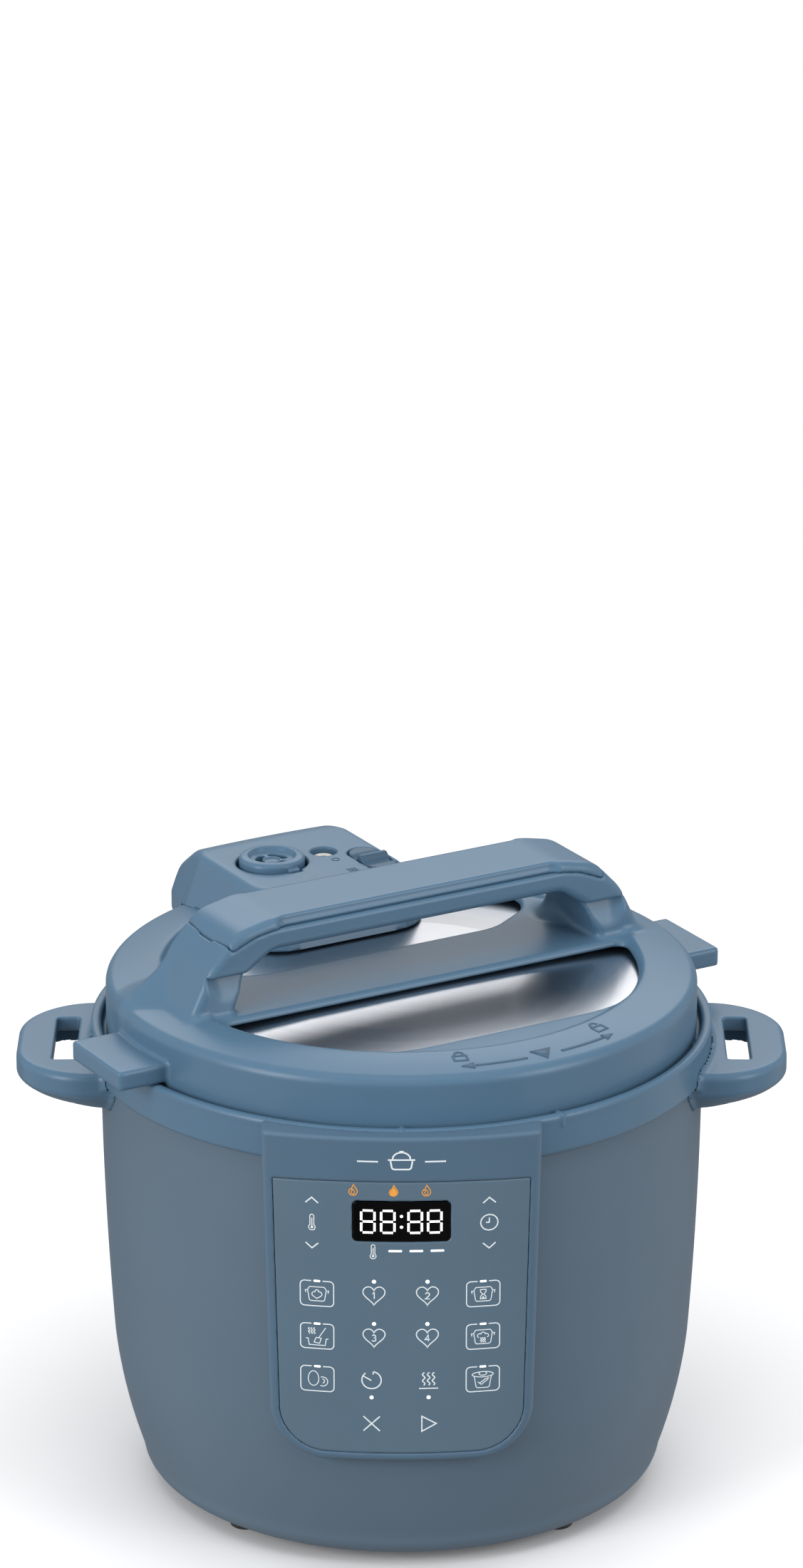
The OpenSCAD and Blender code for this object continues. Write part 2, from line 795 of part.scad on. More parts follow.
module lid_cover() {
  color(blue) on_lid() difference() {
    union() {
      rotate_extrude() polygon([
        [lid_r, lid_low + 0.3], [lid_r, cover_z - 6.2], [lid_r - 1.1, cover_z - 3.8],
        [lid_r - 3.4, cover_z - 2.4], [94, cover_z], [0, cover_z], [0, cover_z - 4.2],
        [100, cover_z - 4.4], [skirt_r - 3, pan_edge + 0.6], [skirt_r - 0.6, pan_edge - 0.9],
        [skirt_r + 0.4, pan_edge - 3.6], [skirt_r + 0.4, lid_low + 0.3]]);
      for (side = [0, 180]) rotate(side)
        translate([skirt_r + 1, -fin_half, collar_top + 0.6])
          cube([fin_tip - skirt_r - 1, 2 * fin_half, fin_h]);
      difference() {
        across_bar() arch_outline();
        across_bar() grip_outline(0.2);
      }
    }
    translate([0, 0, cover_z - 10]) linear_extrude(10 + eps) window_outlines();
    lid_holes(1);
    for (x = [-stud_x, stud_x]) rod(x, stud_y, stud_r + 0.2, pan_edge - 5, cover_z + 8);
    for (x = [-grip_screw_x, grip_screw_x]) rod(x, grip_screw_y, tap_r, grip_top - 20, grip_top);
  }
}

module handle_grip() {
  color(blue) on_lid() difference() {
    intersection() {
      across_bar() arch_outline();
      across_bar() grip_outline(0);
    }
    for (x = [-grip_screw_x, grip_screw_x]) rod(x, grip_screw_y, tap_r, grip_top - 20, grip_top - 1.6);
  }
}

module grip_screws() {
  color(steel) on_lid() for (x = [-grip_screw_x, grip_screw_x]) {
    rod(x, grip_screw_y, screw_r, bar_low - 0.2, grip_top - 1.8);
    rod(x, grip_screw_y, head_r, bar_low - 0.2 - head_h, bar_low - 0.2);
  }
}

module lid_studs() {
  color(steel) on_lid() for (x = [-stud_x, stud_x]) rod(x, stud_y, stud_r, pan_edge + 0.6, cover_z + 7);
}

block_roof = 2.5;
pin_r = 1.5;
cap_hole_r = 15;
float_hole_r = 5.7;
well_z = block_top - 10;
rocker_w = 12.6;
rocker_d = 26.4;
rocker_slack = 0.6;
// Ends of the rocker's pin, and of the longer bore that it is pushed in through
pin_start = rocker_x - 9.4;
pin_end = rocker_x + 8.8;
pin_bore_start = rocker_x - 12;
pin_bore_end = rocker_x + 9;

module valve_block() {
  block_low = cover_z + 0.15;
  color(blue) on_lid() difference() {
    union() {
      hull() {
        translate([0, 0, block_low]) linear_extrude(0.1) block_outline(0);
        translate([0, 0, block_top - 7]) linear_extrude(0.1) block_outline(4);
        translate([0, 0, block_top - 2]) linear_extrude(0.1) block_outline(7);
        translate([0, 0, block_top - 0.1]) linear_extrude(0.1) block_outline(9);
      }
      difference() {
        translate([0, 0, collar_top + 7]) linear_extrude(block_low - collar_top - 7 + eps) block_outline(0);
        translate([0, 0, collar_top]) cylinder(r = lid_r + 0.3, h = 40);
      }
    }
    translate([0, 0, block_low - 1]) linear_extrude(block_top - block_roof - block_low + 1)
      intersection() {
        block_outline(11);
        circle(lid_r - 2);
      }
    rod(steam_x, steam_y, cap_hole_r, well_z, block_top + 5);
    rod(float_x, float_y, float_hole_r, well_z, block_top + 5);
    translate([rocker_x, rocker_y, 0])
      round_box(rocker_w + 2 * rocker_slack, rocker_d + 2.6, rocker_w / 2 + 0.5, well_z, block_top + 5);
    pin_line(pin_r + 0.02, pin_bore_start, pin_bore_end);
  }
  color(blue) on_lid() difference() {
    translate([pin_start, rocker_y - 3, rocker_z - 3.5]) cube([2.2, 6, 5.7]);
    pin_line(pin_r + 0.02, pin_bore_start, pin_bore_end);
  }
}

// Rod along the rocker's axis, between two places across the lid
module pin_line(r, x0, x1) {
  translate([x0, rocker_y, rocker_z]) rotate([0, 90, 0]) cylinder(r = r, h = x1 - x0);
}

pipe_r = 5;
pipe_bore = 2.2;
pipe_top = block_top - 4;

// Collars under the pan that the steam pipe and the float guide are clamped by
collar_low = pan_edge - 2.2;
collar_high = pan_edge - 0.5;

module steam_pipe() {
  color(steel) on_lid() translate([steam_x, steam_y, 0]) {
    ring(pipe_bore, pipe_r, pan_edge - 7, pipe_top);
    ring(pipe_r - 0.5, pipe_r + 2.4, collar_low, collar_high);
  }
}

nut_r = 7.5;
nut_h = 3;

module pipe_nut() {
  color("#b89b5e") on_lid() translate([steam_x, steam_y, cover_z]) difference() {
    translate([0, 0, 0.1]) cylinder(r = nut_r, h = nut_h, $fn = 6);
    translate([0, 0, -1]) cylinder(r = pipe_r + 0.03, h = 6);
  }
}

shield_r = 9;
shield_wall = 0.8;
shield_h = 11.5;

// Slotted cup under the steam pipe that keeps food out of it
module anti_block_shield() {
  top = collar_high;
  low = top - shield_h;
  color(steel) on_lid() translate([steam_x, steam_y, 0]) difference() {
    ring(shield_r - shield_wall, shield_r, low, top);
    for (a = [0:60:120]) rotate(a)
      translate([-shield_r - 3, -1.2, low + 2.5]) cube([2 * shield_r + 6, 2.4, shield_h - 5]);
  }
  color(steel) on_lid() translate([steam_x, steam_y, low - shield_wall])
    cylinder(r = shield_r, h = shield_wall + eps);
}

rack_in = 98.8;
rack_h = 4;

// Wire ring with six straps that holds the sealing ring in the pan
module ring_rack() {
  rack_z = pot_top + 2;
  color(steel) on_lid() {
    ring(rack_in, rack_in + 1.1, rack_z, rack_z + rack_h);
    for (a = [0:60:300])
      ring_part(rack_in - 1, rack_in + eps, a - 3, a + 3, rack_z, pan_edge - 0.6);
  }
}

float_r = 2;

module float_guide() {
  color(steel) on_lid() translate([float_x, float_y, 0]) {
    ring(float_r + 0.06, guide_r, pan_edge - 4.4, cover_z + 1);
    ring(guide_r - 0.5, guide_r + 1.6, collar_low, collar_high);
  }
}

cap_r = 13.5;
cap_wall = 2.1;
cap_slot_in = 4.1;
cap_slot_out = 6.9;
cap_slot_half = 34;

// Loose cap that drops over the steam pipe, with a raised rim and three curved steam slots
module steam_cap() {
  cap_low = block_top - 11;
  cap_in = cap_r - cap_wall;
  roof = block_top + 1.2;
  color(dark_blue) on_lid() translate([steam_x, steam_y, 0]) difference() {
    union() {
      rotate_extrude() polygon([
        [cap_in, cap_low], [cap_r, cap_low], [cap_r, roof + 0.9], [cap_r - 1.2, roof + 2],
        [cap_r - 3.2, roof + 2], [cap_r - 4.4, roof], [0, roof], [0, roof - 2.2], [cap_in, roof - 2.2]]);
      ring(pipe_r + 0.06, 7.2, cap_low, roof - 2);
    }
    for (a = [30:120:270])
      ring_part(cap_slot_in, cap_slot_out, a - cap_slot_half, a + cap_slot_half,
                block_top - 3, block_top + 3);
  }
}

float_top = block_top - 3.6;
float_head_r = 4.2;
seal_low = pan_edge - 14.4;

module float_valve() {
  color(steel) on_lid() translate([float_x, float_y, 0]) difference() {
    union() {
      rod(0, 0, float_r, seal_low + 1.4, float_top - 1);
      rod(0, 0, float_head_r, float_top - 2.4, float_top);
    }
    rod(0, 0, 1.5, float_top - 1.8, float_top + 1);
  }
}

module float_seal() {
  color(silicone) on_lid() translate([float_x, float_y, 0])
    difference() {
      rod(0, 0, 4, seal_low, seal_low + 4);
      rod(0, 0, float_r, seal_low + 1.4, seal_low + 5);
    }
}

module release_rocker() {
  color(dark_blue) on_lid() translate([rocker_x, rocker_y, 0]) difference() {
    union() {
      round_box(rocker_w, rocker_d, rocker_w / 2 - 0.1, block_top - 7.5, block_top + 0.6);
      translate([-6.2, -1.6, block_top]) cube([12.4, 3.2, 1.8]);
    }
    translate([0, 0, rocker_z]) rotate([0, 90, 0]) cylinder(r = pin_r + 0.06, h = 30, center = true);
  }
}

module rocker_pin() {
  color(steel) on_lid() pin_line(pin_r, pin_start, pin_end);
}

lever_start = 2;

// Arm under the rocker that lifts the steam cap
module vent_lever() {
  color(black) on_lid() translate([lever_start, rocker_y + 8.2, block_top - 10.5])
    cube([rocker_x - lever_start + 4, 3.8, 3]);
}

outer_shell();
top_collar();
handle_left();
handle_right();
handle_screws();
lock_ring();
heat_chamber();
heating_plate();
heating_element();
plate_spacers();
plate_screws();
sensor_housing();
sensor_cap();
sensor_spring();
thermal_fuse();
chamber_legs();
panel_housing();
control_overlay();
display_window();
display_module();
control_board();
lid_sensor();
power_board();
board_parts();
power_inlet();
inlet_pins();
base_plate();
base_screws();
feet();
inner_pot();
pot_base();
sealing_ring();
lid_cover();
lid_pan();
handle_grip();
grip_screws();
lid_studs();
valve_block();
steam_pipe();
pipe_nut();
anti_block_shield();
ring_rack();
float_guide();
steam_cap();
float_valve();
float_seal();
release_rocker();
vent_lever();
rocker_pin();
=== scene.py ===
"""Looks of a round electric pressure cooker: satin blue plastic shells with a touch panel, a polished
steel pot and a bayonet lid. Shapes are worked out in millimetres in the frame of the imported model."""
import math

import bpy
import numpy as np
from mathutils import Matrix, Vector


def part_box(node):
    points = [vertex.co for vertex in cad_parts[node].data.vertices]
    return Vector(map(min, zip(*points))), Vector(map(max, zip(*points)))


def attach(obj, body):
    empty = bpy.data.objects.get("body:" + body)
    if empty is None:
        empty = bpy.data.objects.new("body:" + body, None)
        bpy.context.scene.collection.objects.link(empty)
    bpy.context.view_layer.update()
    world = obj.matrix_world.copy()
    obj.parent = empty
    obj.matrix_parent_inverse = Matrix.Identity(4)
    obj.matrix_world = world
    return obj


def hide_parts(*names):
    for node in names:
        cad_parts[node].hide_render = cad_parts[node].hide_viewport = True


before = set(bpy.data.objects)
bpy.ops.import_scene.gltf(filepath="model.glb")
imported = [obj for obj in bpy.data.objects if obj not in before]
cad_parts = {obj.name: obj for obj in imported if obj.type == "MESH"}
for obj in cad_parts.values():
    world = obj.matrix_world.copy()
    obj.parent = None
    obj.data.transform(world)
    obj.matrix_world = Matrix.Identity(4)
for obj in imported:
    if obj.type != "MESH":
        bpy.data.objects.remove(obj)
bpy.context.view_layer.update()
MM = 0.001
COARSE = 1.0


# ------------------------ sizes from the frame, in millimetres

def low(node, axis):
    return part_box(node)[0][axis] / MM


def high(node, axis):
    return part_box(node)[1][axis] / MM


COLLAR_R = -low("top_collar", 0)
BAND_Z = low("top_collar", 2)
COLLAR_TOP = BAND_Z + 15.5
FLOOR_Z = COLLAR_TOP - 4.8
RING_TOP = high("lock_ring", 2)
LUG_R = high("lock_ring", 1)
POT_TOP = high("inner_pot", 2)
POT_LOW = low("pot_base", 2)
RIM_R = high("inner_pot", 0)
PAN_TOP = high("lid_pan", 2)
GRIP_TOP = high("handle_grip", 2)
BLOCK_TOP = high("valve_block", 2)
LID_LOW = low("lid_cover", 2)
LID_R = 118.0
COVER_Z = COLLAR_TOP + 22.0
TURN = math.radians(30)


# ------------------------ camera, floor and light

CAMERA_AWAY, CAMERA_RISE, CAMERA_PITCH, CAMERA_LENS = 2.6, 21.32, 70.70, 149.2


def make_camera():
    """Long lens that looks down on the cooker. Its pitch sets where the cooker lies in the picture."""
    data = bpy.data.cameras.new("camera")
    data.lens = CAMERA_LENS
    camera = bpy.data.objects.new("camera", data)
    rise = math.radians(CAMERA_RISE)
    camera.location = (0.0, -CAMERA_AWAY * math.cos(rise), COLLAR_TOP * MM + CAMERA_AWAY * math.sin(rise))
    camera.rotation_euler = (math.radians(CAMERA_PITCH), 0.0, 0.0)
    bpy.context.scene.collection.objects.link(camera)
    bpy.context.scene.camera = camera


make_camera()


def nodes_of(tree):
    """Short maker of nodes: make(kind, socket=value, ...), where a value may be another node's output."""
    def make(kind, **sockets):
        node = tree.nodes.new(kind)
        for key, value in sockets.items():
            name = key.replace("_", " ")
            target = node.inputs[int(key[1:])] if key[0] == "i" and key[1:].isdigit() else node.inputs[name]
            if isinstance(value, bpy.types.NodeSocket):
                tree.links.new(value, target)
            else:
                target.default_value = value
        return node
    return make


def tune(shader, **values):
    """Sets sockets of a shader. An underscore stands for a space in a socket's name."""
    for name, value in values.items():
        shader.inputs[name.replace("_", " ")].default_value = value


def ramp(node, *stops):
    """Sets a colour ramp's stops, each (place, grey or colour)."""
    elements = node.color_ramp.elements
    while len(elements) < len(stops):
        elements.new(0.5)
    for element, (place, value) in zip(elements, stops):
        element.position = place
        element.color = (value, value, value, 1.0) if isinstance(value, float) else (*value, 1.0)


# Grey stands round the room, as (share of the way round, brightness)
STANDS = ((0.0, 0.45), (0.085, 0.35), (0.105, 0.12), (0.13, 0.25), (0.17, 1.15), (0.37, 1.1),
          (0.385, 0.80), (0.438, 0.78), (0.450, 0.25), (0.462, 0.26), (0.478, 0.60), (0.52, 0.66),
          (0.570, 0.58), (0.598, 0.22), (0.608, 0.12), (0.630, 0.12), (0.637, 1.1), (0.84, 1.15),
          (0.90, 0.35), (1.0, 0.45))


def make_world():
    """White to the camera. Reflections see grey stands under clouds, and soft light a paler sky."""
    world = bpy.data.worlds.new("studio")
    bpy.context.scene.world = world
    world.use_nodes = True
    tree = world.node_tree
    tree.nodes.clear()
    make = nodes_of(tree)
    place = make("ShaderNodeTexCoord")
    parts = make("ShaderNodeSeparateXYZ", Vector=place.outputs["Generated"])
    back = make("ShaderNodeMath", i0=parts.outputs["Y"], i1=-1.0)
    back.operation = "MULTIPLY"
    turn = make("ShaderNodeMath", i0=parts.outputs["X"], i1=back.outputs[0])
    turn.operation = "ARCTAN2"
    share = make("ShaderNodeMapRange", Value=turn.outputs[0], From_Min=-math.pi, From_Max=math.pi)
    bands = make("ShaderNodeValToRGB", Fac=share.outputs[0])
    ramp(bands, *STANDS)
    height = make("ShaderNodeMapRange", Value=parts.outputs["Z"], From_Min=0.25, From_Max=0.85)
    sky = make("ShaderNodeMix", Factor=height.outputs[0])
    sky.data_type = "RGBA"
    tree.links.new(bands.outputs["Color"], sky.inputs[6])
    cloud = make("ShaderNodeTexNoise", Vector=place.outputs["Generated"], Scale=1.9, Detail=1.0)
    upper = make("ShaderNodeMapRange", Value=cloud.outputs["Fac"], From_Min=0.35, From_Max=0.65,
                 To_Min=0.22, To_Max=0.85)
    tree.links.new(upper.outputs[0], sky.inputs[7])
    room = make("ShaderNodeBackground", Color=sky.outputs[2], Strength=0.85)
    ground = make("ShaderNodeMapRange", Value=parts.outputs["Z"], From_Min=-0.35, From_Max=0.25,
                  To_Min=0.28, To_Max=0.56)
    soft = make("ShaderNodeBackground", Color=(1.0, 1.0, 1.0, 1.0), Strength=ground.outputs[0])
    white = make("ShaderNodeBackground", Color=(1.0, 1.0, 1.0, 1.0), Strength=1.0)
    ray = make("ShaderNodeLightPath")
    diffuse = make("ShaderNodeMixShader", i0=ray.outputs["Is Diffuse Ray"], i1=room.outputs[0],
                   i2=soft.outputs[0])
    mix = make("ShaderNodeMixShader", i0=ray.outputs["Is Camera Ray"], i1=diffuse.outputs[0],
               i2=white.outputs[0])
    make("ShaderNodeOutputWorld", Surface=mix.outputs[0])


make_world()


def area_light(name, place, aim, size, power, seen=True):
    data = bpy.data.lights.new(name, "AREA")
    data.shape = "RECTANGLE"
    data.size, data.size_y = size
    data.energy = power
    light = bpy.data.objects.new(name, data)
    light.location = place
    light.rotation_euler = (Vector(place) - Vector(aim)).to_track_quat("Z", "Y").to_euler()
    light.visible_camera = False
    light.visible_glossy = seen
    bpy.context.scene.collection.objects.link(light)


area_light("top_softbox", (0.2, -0.5, 2.6), (0, 0, 0.2), (2.4, 2.0), 34, seen=False)
area_light("left_softbox", (-2.0, -1.7, 0.9), (0, 0, 0.15), (1.0, 1.6), 46)
area_light("right_softbox", (2.2, -1.4, 1.0), (0, 0, 0.15), (0.9, 1.8), 30)
area_light("back_softbox", (0.0, 2.4, 1.8), (0, 0, 0.25), (2.6, 1.2), 22)

bpy.context.scene.view_settings.view_transform = "Standard"


FLOOR_HALF, FADE_FROM, FADE_TO = 40.0, 0.35, 1.3


def make_floor():
    """Pale floor that takes the shadow and fades into the white beyond it."""
    mesh = bpy.data.meshes.new("floor")
    corners = [(a * FLOOR_HALF, b * FLOOR_HALF, 0) for a, b in ((-1, -1), (1, -1), (1, 1), (-1, 1))]
    mesh.from_pydata(corners, [], [(0, 1, 2, 3)])
    floor = bpy.data.objects.new("floor", mesh)
    bpy.context.scene.collection.objects.link(floor)
    material = bpy.data.materials.new("pale_floor")
    material.use_nodes = True
    tree = material.node_tree
    shader = tree.nodes["Principled BSDF"]
    tune(shader, Base_Color=(0.90, 0.90, 0.91, 1.0), Roughness=0.8, Specular_IOR_Level=0.1)
    make = nodes_of(tree)
    place = make("ShaderNodeTexCoord")
    away = make("ShaderNodeVectorMath", i0=place.outputs["Object"])
    away.operation = "LENGTH"
    fade = make("ShaderNodeMapRange", Value=away.outputs["Value"], From_Min=FADE_FROM, From_Max=FADE_TO)
    fade.interpolation_type = "SMOOTHSTEP"
    clear = make("ShaderNodeBsdfTransparent")
    mix = make("ShaderNodeMixShader", i0=fade.outputs[0], i1=shader.outputs[0], i2=clear.outputs[0])
    tree.links.new(mix.outputs[0], tree.nodes["Material Output"].inputs["Surface"])
    mesh.materials.append(material)
    floor.visible_glossy = False
    floor.visible_diffuse = False


make_floor()


# ------------------------ materials

def srgb(r, g, b):
    """Linear colour of an sRGB colour given from 0 to 255."""
    return tuple(((v / 255 + 0.055) / 1.055) ** 2.4 if v > 10 else v / 255 / 12.92 for v in (r, g, b))


def surface(name):
    """New material with its Principled shader, a maker of nodes and its object coordinates."""
    material = bpy.data.materials.new(name)
    material.use_nodes = True
    tree = material.node_tree
    shader = tree.nodes["Principled BSDF"]
    make = nodes_of(tree)
    place = make("ShaderNodeTexCoord").outputs["Object"]
    return material, tree, shader, make, place


def tint_between(tree, make, shader, factor, dark, light):
    mix = make("ShaderNodeMix", Factor=factor)
    mix.data_type = "RGBA"
    mix.inputs[6].default_value = (*dark, 1.0)
    mix.inputs[7].default_value = (*light, 1.0)
    tree.links.new(mix.outputs[2], shader.inputs["Base Color"])


def tint_about(tree, make, shader, factor, colour, spread):
    """Base colour that wanders a little to each side of one colour."""
    dark, light = [c * (1 - spread) for c in colour], [min(1.0, c * (1 + spread)) for c in colour]
    tint_between(tree, make, shader, factor, dark, light)


def bump(tree, make, shader, height, strength, depth_mm):
    node = make("ShaderNodeBump", Height=height, Strength=strength, Distance=depth_mm * MM)
    tree.links.new(node.outputs[0], shader.inputs["Normal"])


def moulded(name, colour, rough, grain_mm=0.35, grain_depth=0.012, coat=0.0, spread=0.05, **more):
    """Moulded plastic: fine grain, slightly uneven colour and gloss."""
    material, tree, shader, make, place = surface(name)
    cloud = make("ShaderNodeTexNoise", Vector=place, Scale=28.0, Detail=3.0, Roughness=0.55)
    tint_about(tree, make, shader, cloud.outputs["Fac"], colour, spread)
    grain = make("ShaderNodeTexNoise", Vector=place, Scale=1.0 / (grain_mm * MM), Detail=2.0)
    bump(tree, make, shader, grain.outputs["Fac"], 0.6, grain_depth)
    gloss = make("ShaderNodeMapRange", Value=cloud.outputs["Fac"], To_Min=rough - 0.03, To_Max=rough + 0.03)
    tree.links.new(gloss.outputs[0], shader.inputs["Roughness"])
    tune(shader, IOR=1.5, Specular_IOR_Level=0.3, Coat_Weight=coat, Coat_Roughness=0.25)
    tune(shader, **more)
    return material


def metal(name, colour, rough, brush=None, brush_depth=0.003, spread=0.04):
    """Metal with fine lines. brush is "turned" for rings, an (x, y, z) scale for drawn lines, or None."""
    material, tree, shader, make, place = surface(name)
    tune(shader, Metallic=1.0)
    if brush == "turned":
        parts = make("ShaderNodeSeparateXYZ", Vector=place)
        flat = make("ShaderNodeCombineXYZ", X=parts.outputs["X"], Y=parts.outputs["Y"])
        radius = make("ShaderNodeVectorMath", i0=flat.outputs[0])
        radius.operation = "LENGTH"
        line = make("ShaderNodeCombineXYZ", X=radius.outputs["Value"], Y=parts.outputs["Z"])
        lines = make("ShaderNodeTexNoise", Vector=line.outputs[0], Scale=2600.0, Detail=2.0)
    elif brush:
        stretch = make("ShaderNodeMapping", Vector=place, Scale=brush)
        lines = make("ShaderNodeTexNoise", Vector=stretch.outputs[0], Scale=1.0, Detail=2.0)
    else:
        lines = make("ShaderNodeTexNoise", Vector=place, Scale=900.0, Detail=2.0)
    cloud = make("ShaderNodeTexNoise", Vector=place, Scale=18.0, Detail=2.0)
    tint_about(tree, make, shader, cloud.outputs["Fac"], colour, spread)
    gloss = make("ShaderNodeMapRange", Value=lines.outputs["Fac"], To_Min=rough * 0.8, To_Max=rough * 1.25)
    tree.links.new(gloss.outputs[0], shader.inputs["Roughness"])
    bump(tree, make, shader, lines.outputs["Fac"], 0.4, brush_depth)
    return material


BLUE = srgb(76, 106, 130)
blue_satin = moulded("blue_satin", BLUE, 0.38, grain_depth=0.006, coat=0.08)
blue_matte = moulded("blue_matte", srgb(88, 106, 122), 0.52, grain_mm=0.5, grain_depth=0.02)
blue_panel = moulded("blue_panel", srgb(79, 104, 125), 0.42, grain_depth=0.008)
blue_dark = moulded("blue_dark", srgb(60, 86, 108), 0.42, grain_depth=0.006)
blue_mark = moulded("blue_mark", srgb(64, 90, 111), 0.48)
panel_film = moulded("panel_film", srgb(86, 108, 125), 0.36, grain_mm=0.25, grain_depth=0.004, coat=0.15)
black_plastic = moulded("black_plastic", srgb(26, 27, 30), 0.45, grain_depth=0.02)
float_grey = moulded("float_grey", srgb(198, 197, 192), 0.45, spread=0.03)
rubber = moulded("rubber", srgb(30, 30, 32), 0.62, grain_mm=0.6, grain_depth=0.03)
cast_coat = moulded("cast_coat", srgb(74, 73, 75), 0.34, grain_mm=0.8, grain_depth=0.02)
green_board = moulded("green_board", srgb(32, 96, 60), 0.35, coat=0.4)
ceramic = moulded("ceramic", srgb(216, 210, 196), 0.5)
satin_steel = metal("satin_steel", (0.55, 0.55, 0.59), 0.34, brush=(60.0, 4000.0, 4000.0))
turned_steel = metal("turned_steel", (0.62, 0.63, 0.66), 0.24, brush="turned", spread=0.10)
zinc = metal("zinc", (0.62, 0.63, 0.64), 0.35)
turned_alloy = metal("turned_alloy", (0.60, 0.61, 0.63), 0.38, brush="turned", brush_depth=0.02)
brass = metal("brass", (0.72, 0.55, 0.28), 0.3)


# ------------------------ mesh tools

def add_piece(name, points, faces, body, material, slot, replaces=(), sharp=32, materials=None):
    """New piece from points in millimetres."""
    mesh = bpy.data.meshes.new(name)
    mesh.from_pydata((np.asarray(points, float) * MM).tolist(), [], [list(f) for f in faces])
    mesh.validate()
    mesh.update()
    for m in materials or [material]:
        mesh.materials.append(m)
    mesh.polygons.foreach_set("use_smooth", [True] * len(mesh.polygons))
    if sharp:
        mesh.set_sharp_from_angle(angle=math.radians(sharp))
    obj = bpy.data.objects.new(name, mesh)
    bpy.context.scene.collection.objects.link(obj)
    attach(obj, body)
    if replaces:
        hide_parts(*replaces)
    return obj


def turned(points, angle):
    """Points turned about the cooker's axis."""
    p = np.array(points, float)
    c, s = math.cos(angle), math.sin(angle)
    p[:, :2] = np.stack([p[:, 0] * c - p[:, 1] * s, p[:, 0] * s + p[:, 1] * c], 1)
    return p


def rounded(points, steps=6, closed=True):
    """Outline with its corners rounded. Each point is (u, v) or (u, v, radius)."""
    out, n = [], len(points)
    for i, point in enumerate(points):
        r = point[2] if len(point) > 2 else 0.0
        p = np.array(point[:2], float)
        if r <= 0 or (not closed and i in (0, n - 1)):
            out.append(tuple(p))
            continue
        a = np.array(points[i - 1][:2], float) - p
        b = np.array(points[(i + 1) % n][:2], float) - p
        la, lb = np.linalg.norm(a), np.linalg.norm(b)
        a, b = a / la, b / lb
        half = math.acos(max(-1.0, min(1.0, float(a @ b)))) / 2
        cut = min(r / math.tan(half), la * 0.49, lb * 0.49)
        r = cut * math.tan(half)
        middle = (a + b) / np.linalg.norm(a + b)
        centre = p + middle * (r / math.sin(half))
        start, end = p + a * cut - centre, p + b * cut - centre
        a0 = math.atan2(start[1], start[0])
        sweep = (math.atan2(end[1], end[0]) - a0 + math.pi) % (2 * math.pi) - math.pi
        for k in range(steps + 1):
            t = a0 + sweep * k / steps
            out.append((centre[0] + r * math.cos(t), centre[1] + r * math.sin(t)))
    return out


def lathe(outline, segments=224, centre=(0.0, 0.0)):
    """Points and faces of a closed (r, z) outline turned about an upright axis."""
    outline = [(max(r, 0.0), z) for r, z in outline]
    points, rows = [], []
    for r, z in outline:
        if r < 1e-6:
            rows.append([len(points)] * segments)
            points.append((centre[0], centre[1], z))
            continue
        rows.append(list(range(len(points), len(points) + segments)))
        for k in range(segments):
            t = 2 * math.pi * k / segments
            points.append((centre[0] + r * math.cos(t), centre[1] + r * math.sin(t), z))
    area = sum(a[0] * b[1] - b[0] * a[1] for a, b in zip(outline, outline[1:] + outline[:1]))
    faces = []
    for i in range(len(rows)):
        one, two = rows[i], rows[(i + 1) % len(rows)]
        if outline[i][0] < 1e-6 and outline[(i + 1) % len(rows)][0] < 1e-6:
            continue
        for k in range(segments):
            m = (k + 1) % segments
            loop = [one[k], one[m], two[m], two[k]]
            loop = [v for j, v in enumerate(loop) if v != loop[j - 1]]
            faces.append(loop if area > 0 else loop[::-1])
    return points, faces


# Distance fields: negative inside, in millimetres. They take x, y and z arrays that broadcast together.

def box_outline(u, v, half_u, half_v, r):
    """Distance to a rectangle with round corners."""
    qu, qv = np.abs(u) - half_u + r, np.abs(v) - half_v + r
    return np.hypot(np.maximum(qu, 0), np.maximum(qv, 0)) + np.minimum(np.maximum(qu, qv), 0) - r


def outline_field(u, v, outline):
    """Distance to a closed outline."""
    best, sign = None, 1.0
    for (au, av), (bu, bv) in zip(outline, outline[1:] + outline[:1]):
        eu, ev = bu - au, bv - av
        if eu * eu + ev * ev < 1e-12:
            continue
        wu, wv = u - au, v - av
        t = np.clip((wu * eu + wv * ev) / (eu * eu + ev * ev), 0, 1)
        d = (wu - eu * t) ** 2 + (wv - ev * t) ** 2
        best = d if best is None else np.minimum(best, d)
        above, below, left = v >= av, v < bv, eu * wv > ev * wu
        flip = (above & below & left) | (~above & ~below & ~left)
        sign = np.where(flip, -sign, sign)
    return sign * np.sqrt(best)


def both(a, b, r=0.0):
    """Where two solids meet, with its edge rounded."""
    if r <= 0:
        return np.maximum(a, b)
    return np.minimum(-r, np.maximum(a, b)) + np.hypot(np.maximum(r + a, 0), np.maximum(r + b, 0))


def either(a, b, r=0.0):
    """Two solids joined, with a fillet of that radius."""
    if np.ndim(r) == 0 and r <= 0:
        return np.minimum(a, b)
    return np.maximum(r, np.minimum(a, b)) - np.hypot(np.maximum(r - a, 0), np.maximum(r - b, 0))


def without(a, b, r=0.0):
    return both(a, -b, r)


def slab(v, v0, v1):
    return np.maximum(v0 - v, v - v1)


def smooth_step(v, v0, v1):
    t = np.clip((v - v0) / (v1 - v0), 0, 1)
    return t * t * (3 - 2 * t)


def slope_of(field, p, eps=0.02):
    return np.stack([(field(*(p + d).T) - field(*(p - d).T)) / (2 * eps) for d in np.eye(3) * eps], 1)


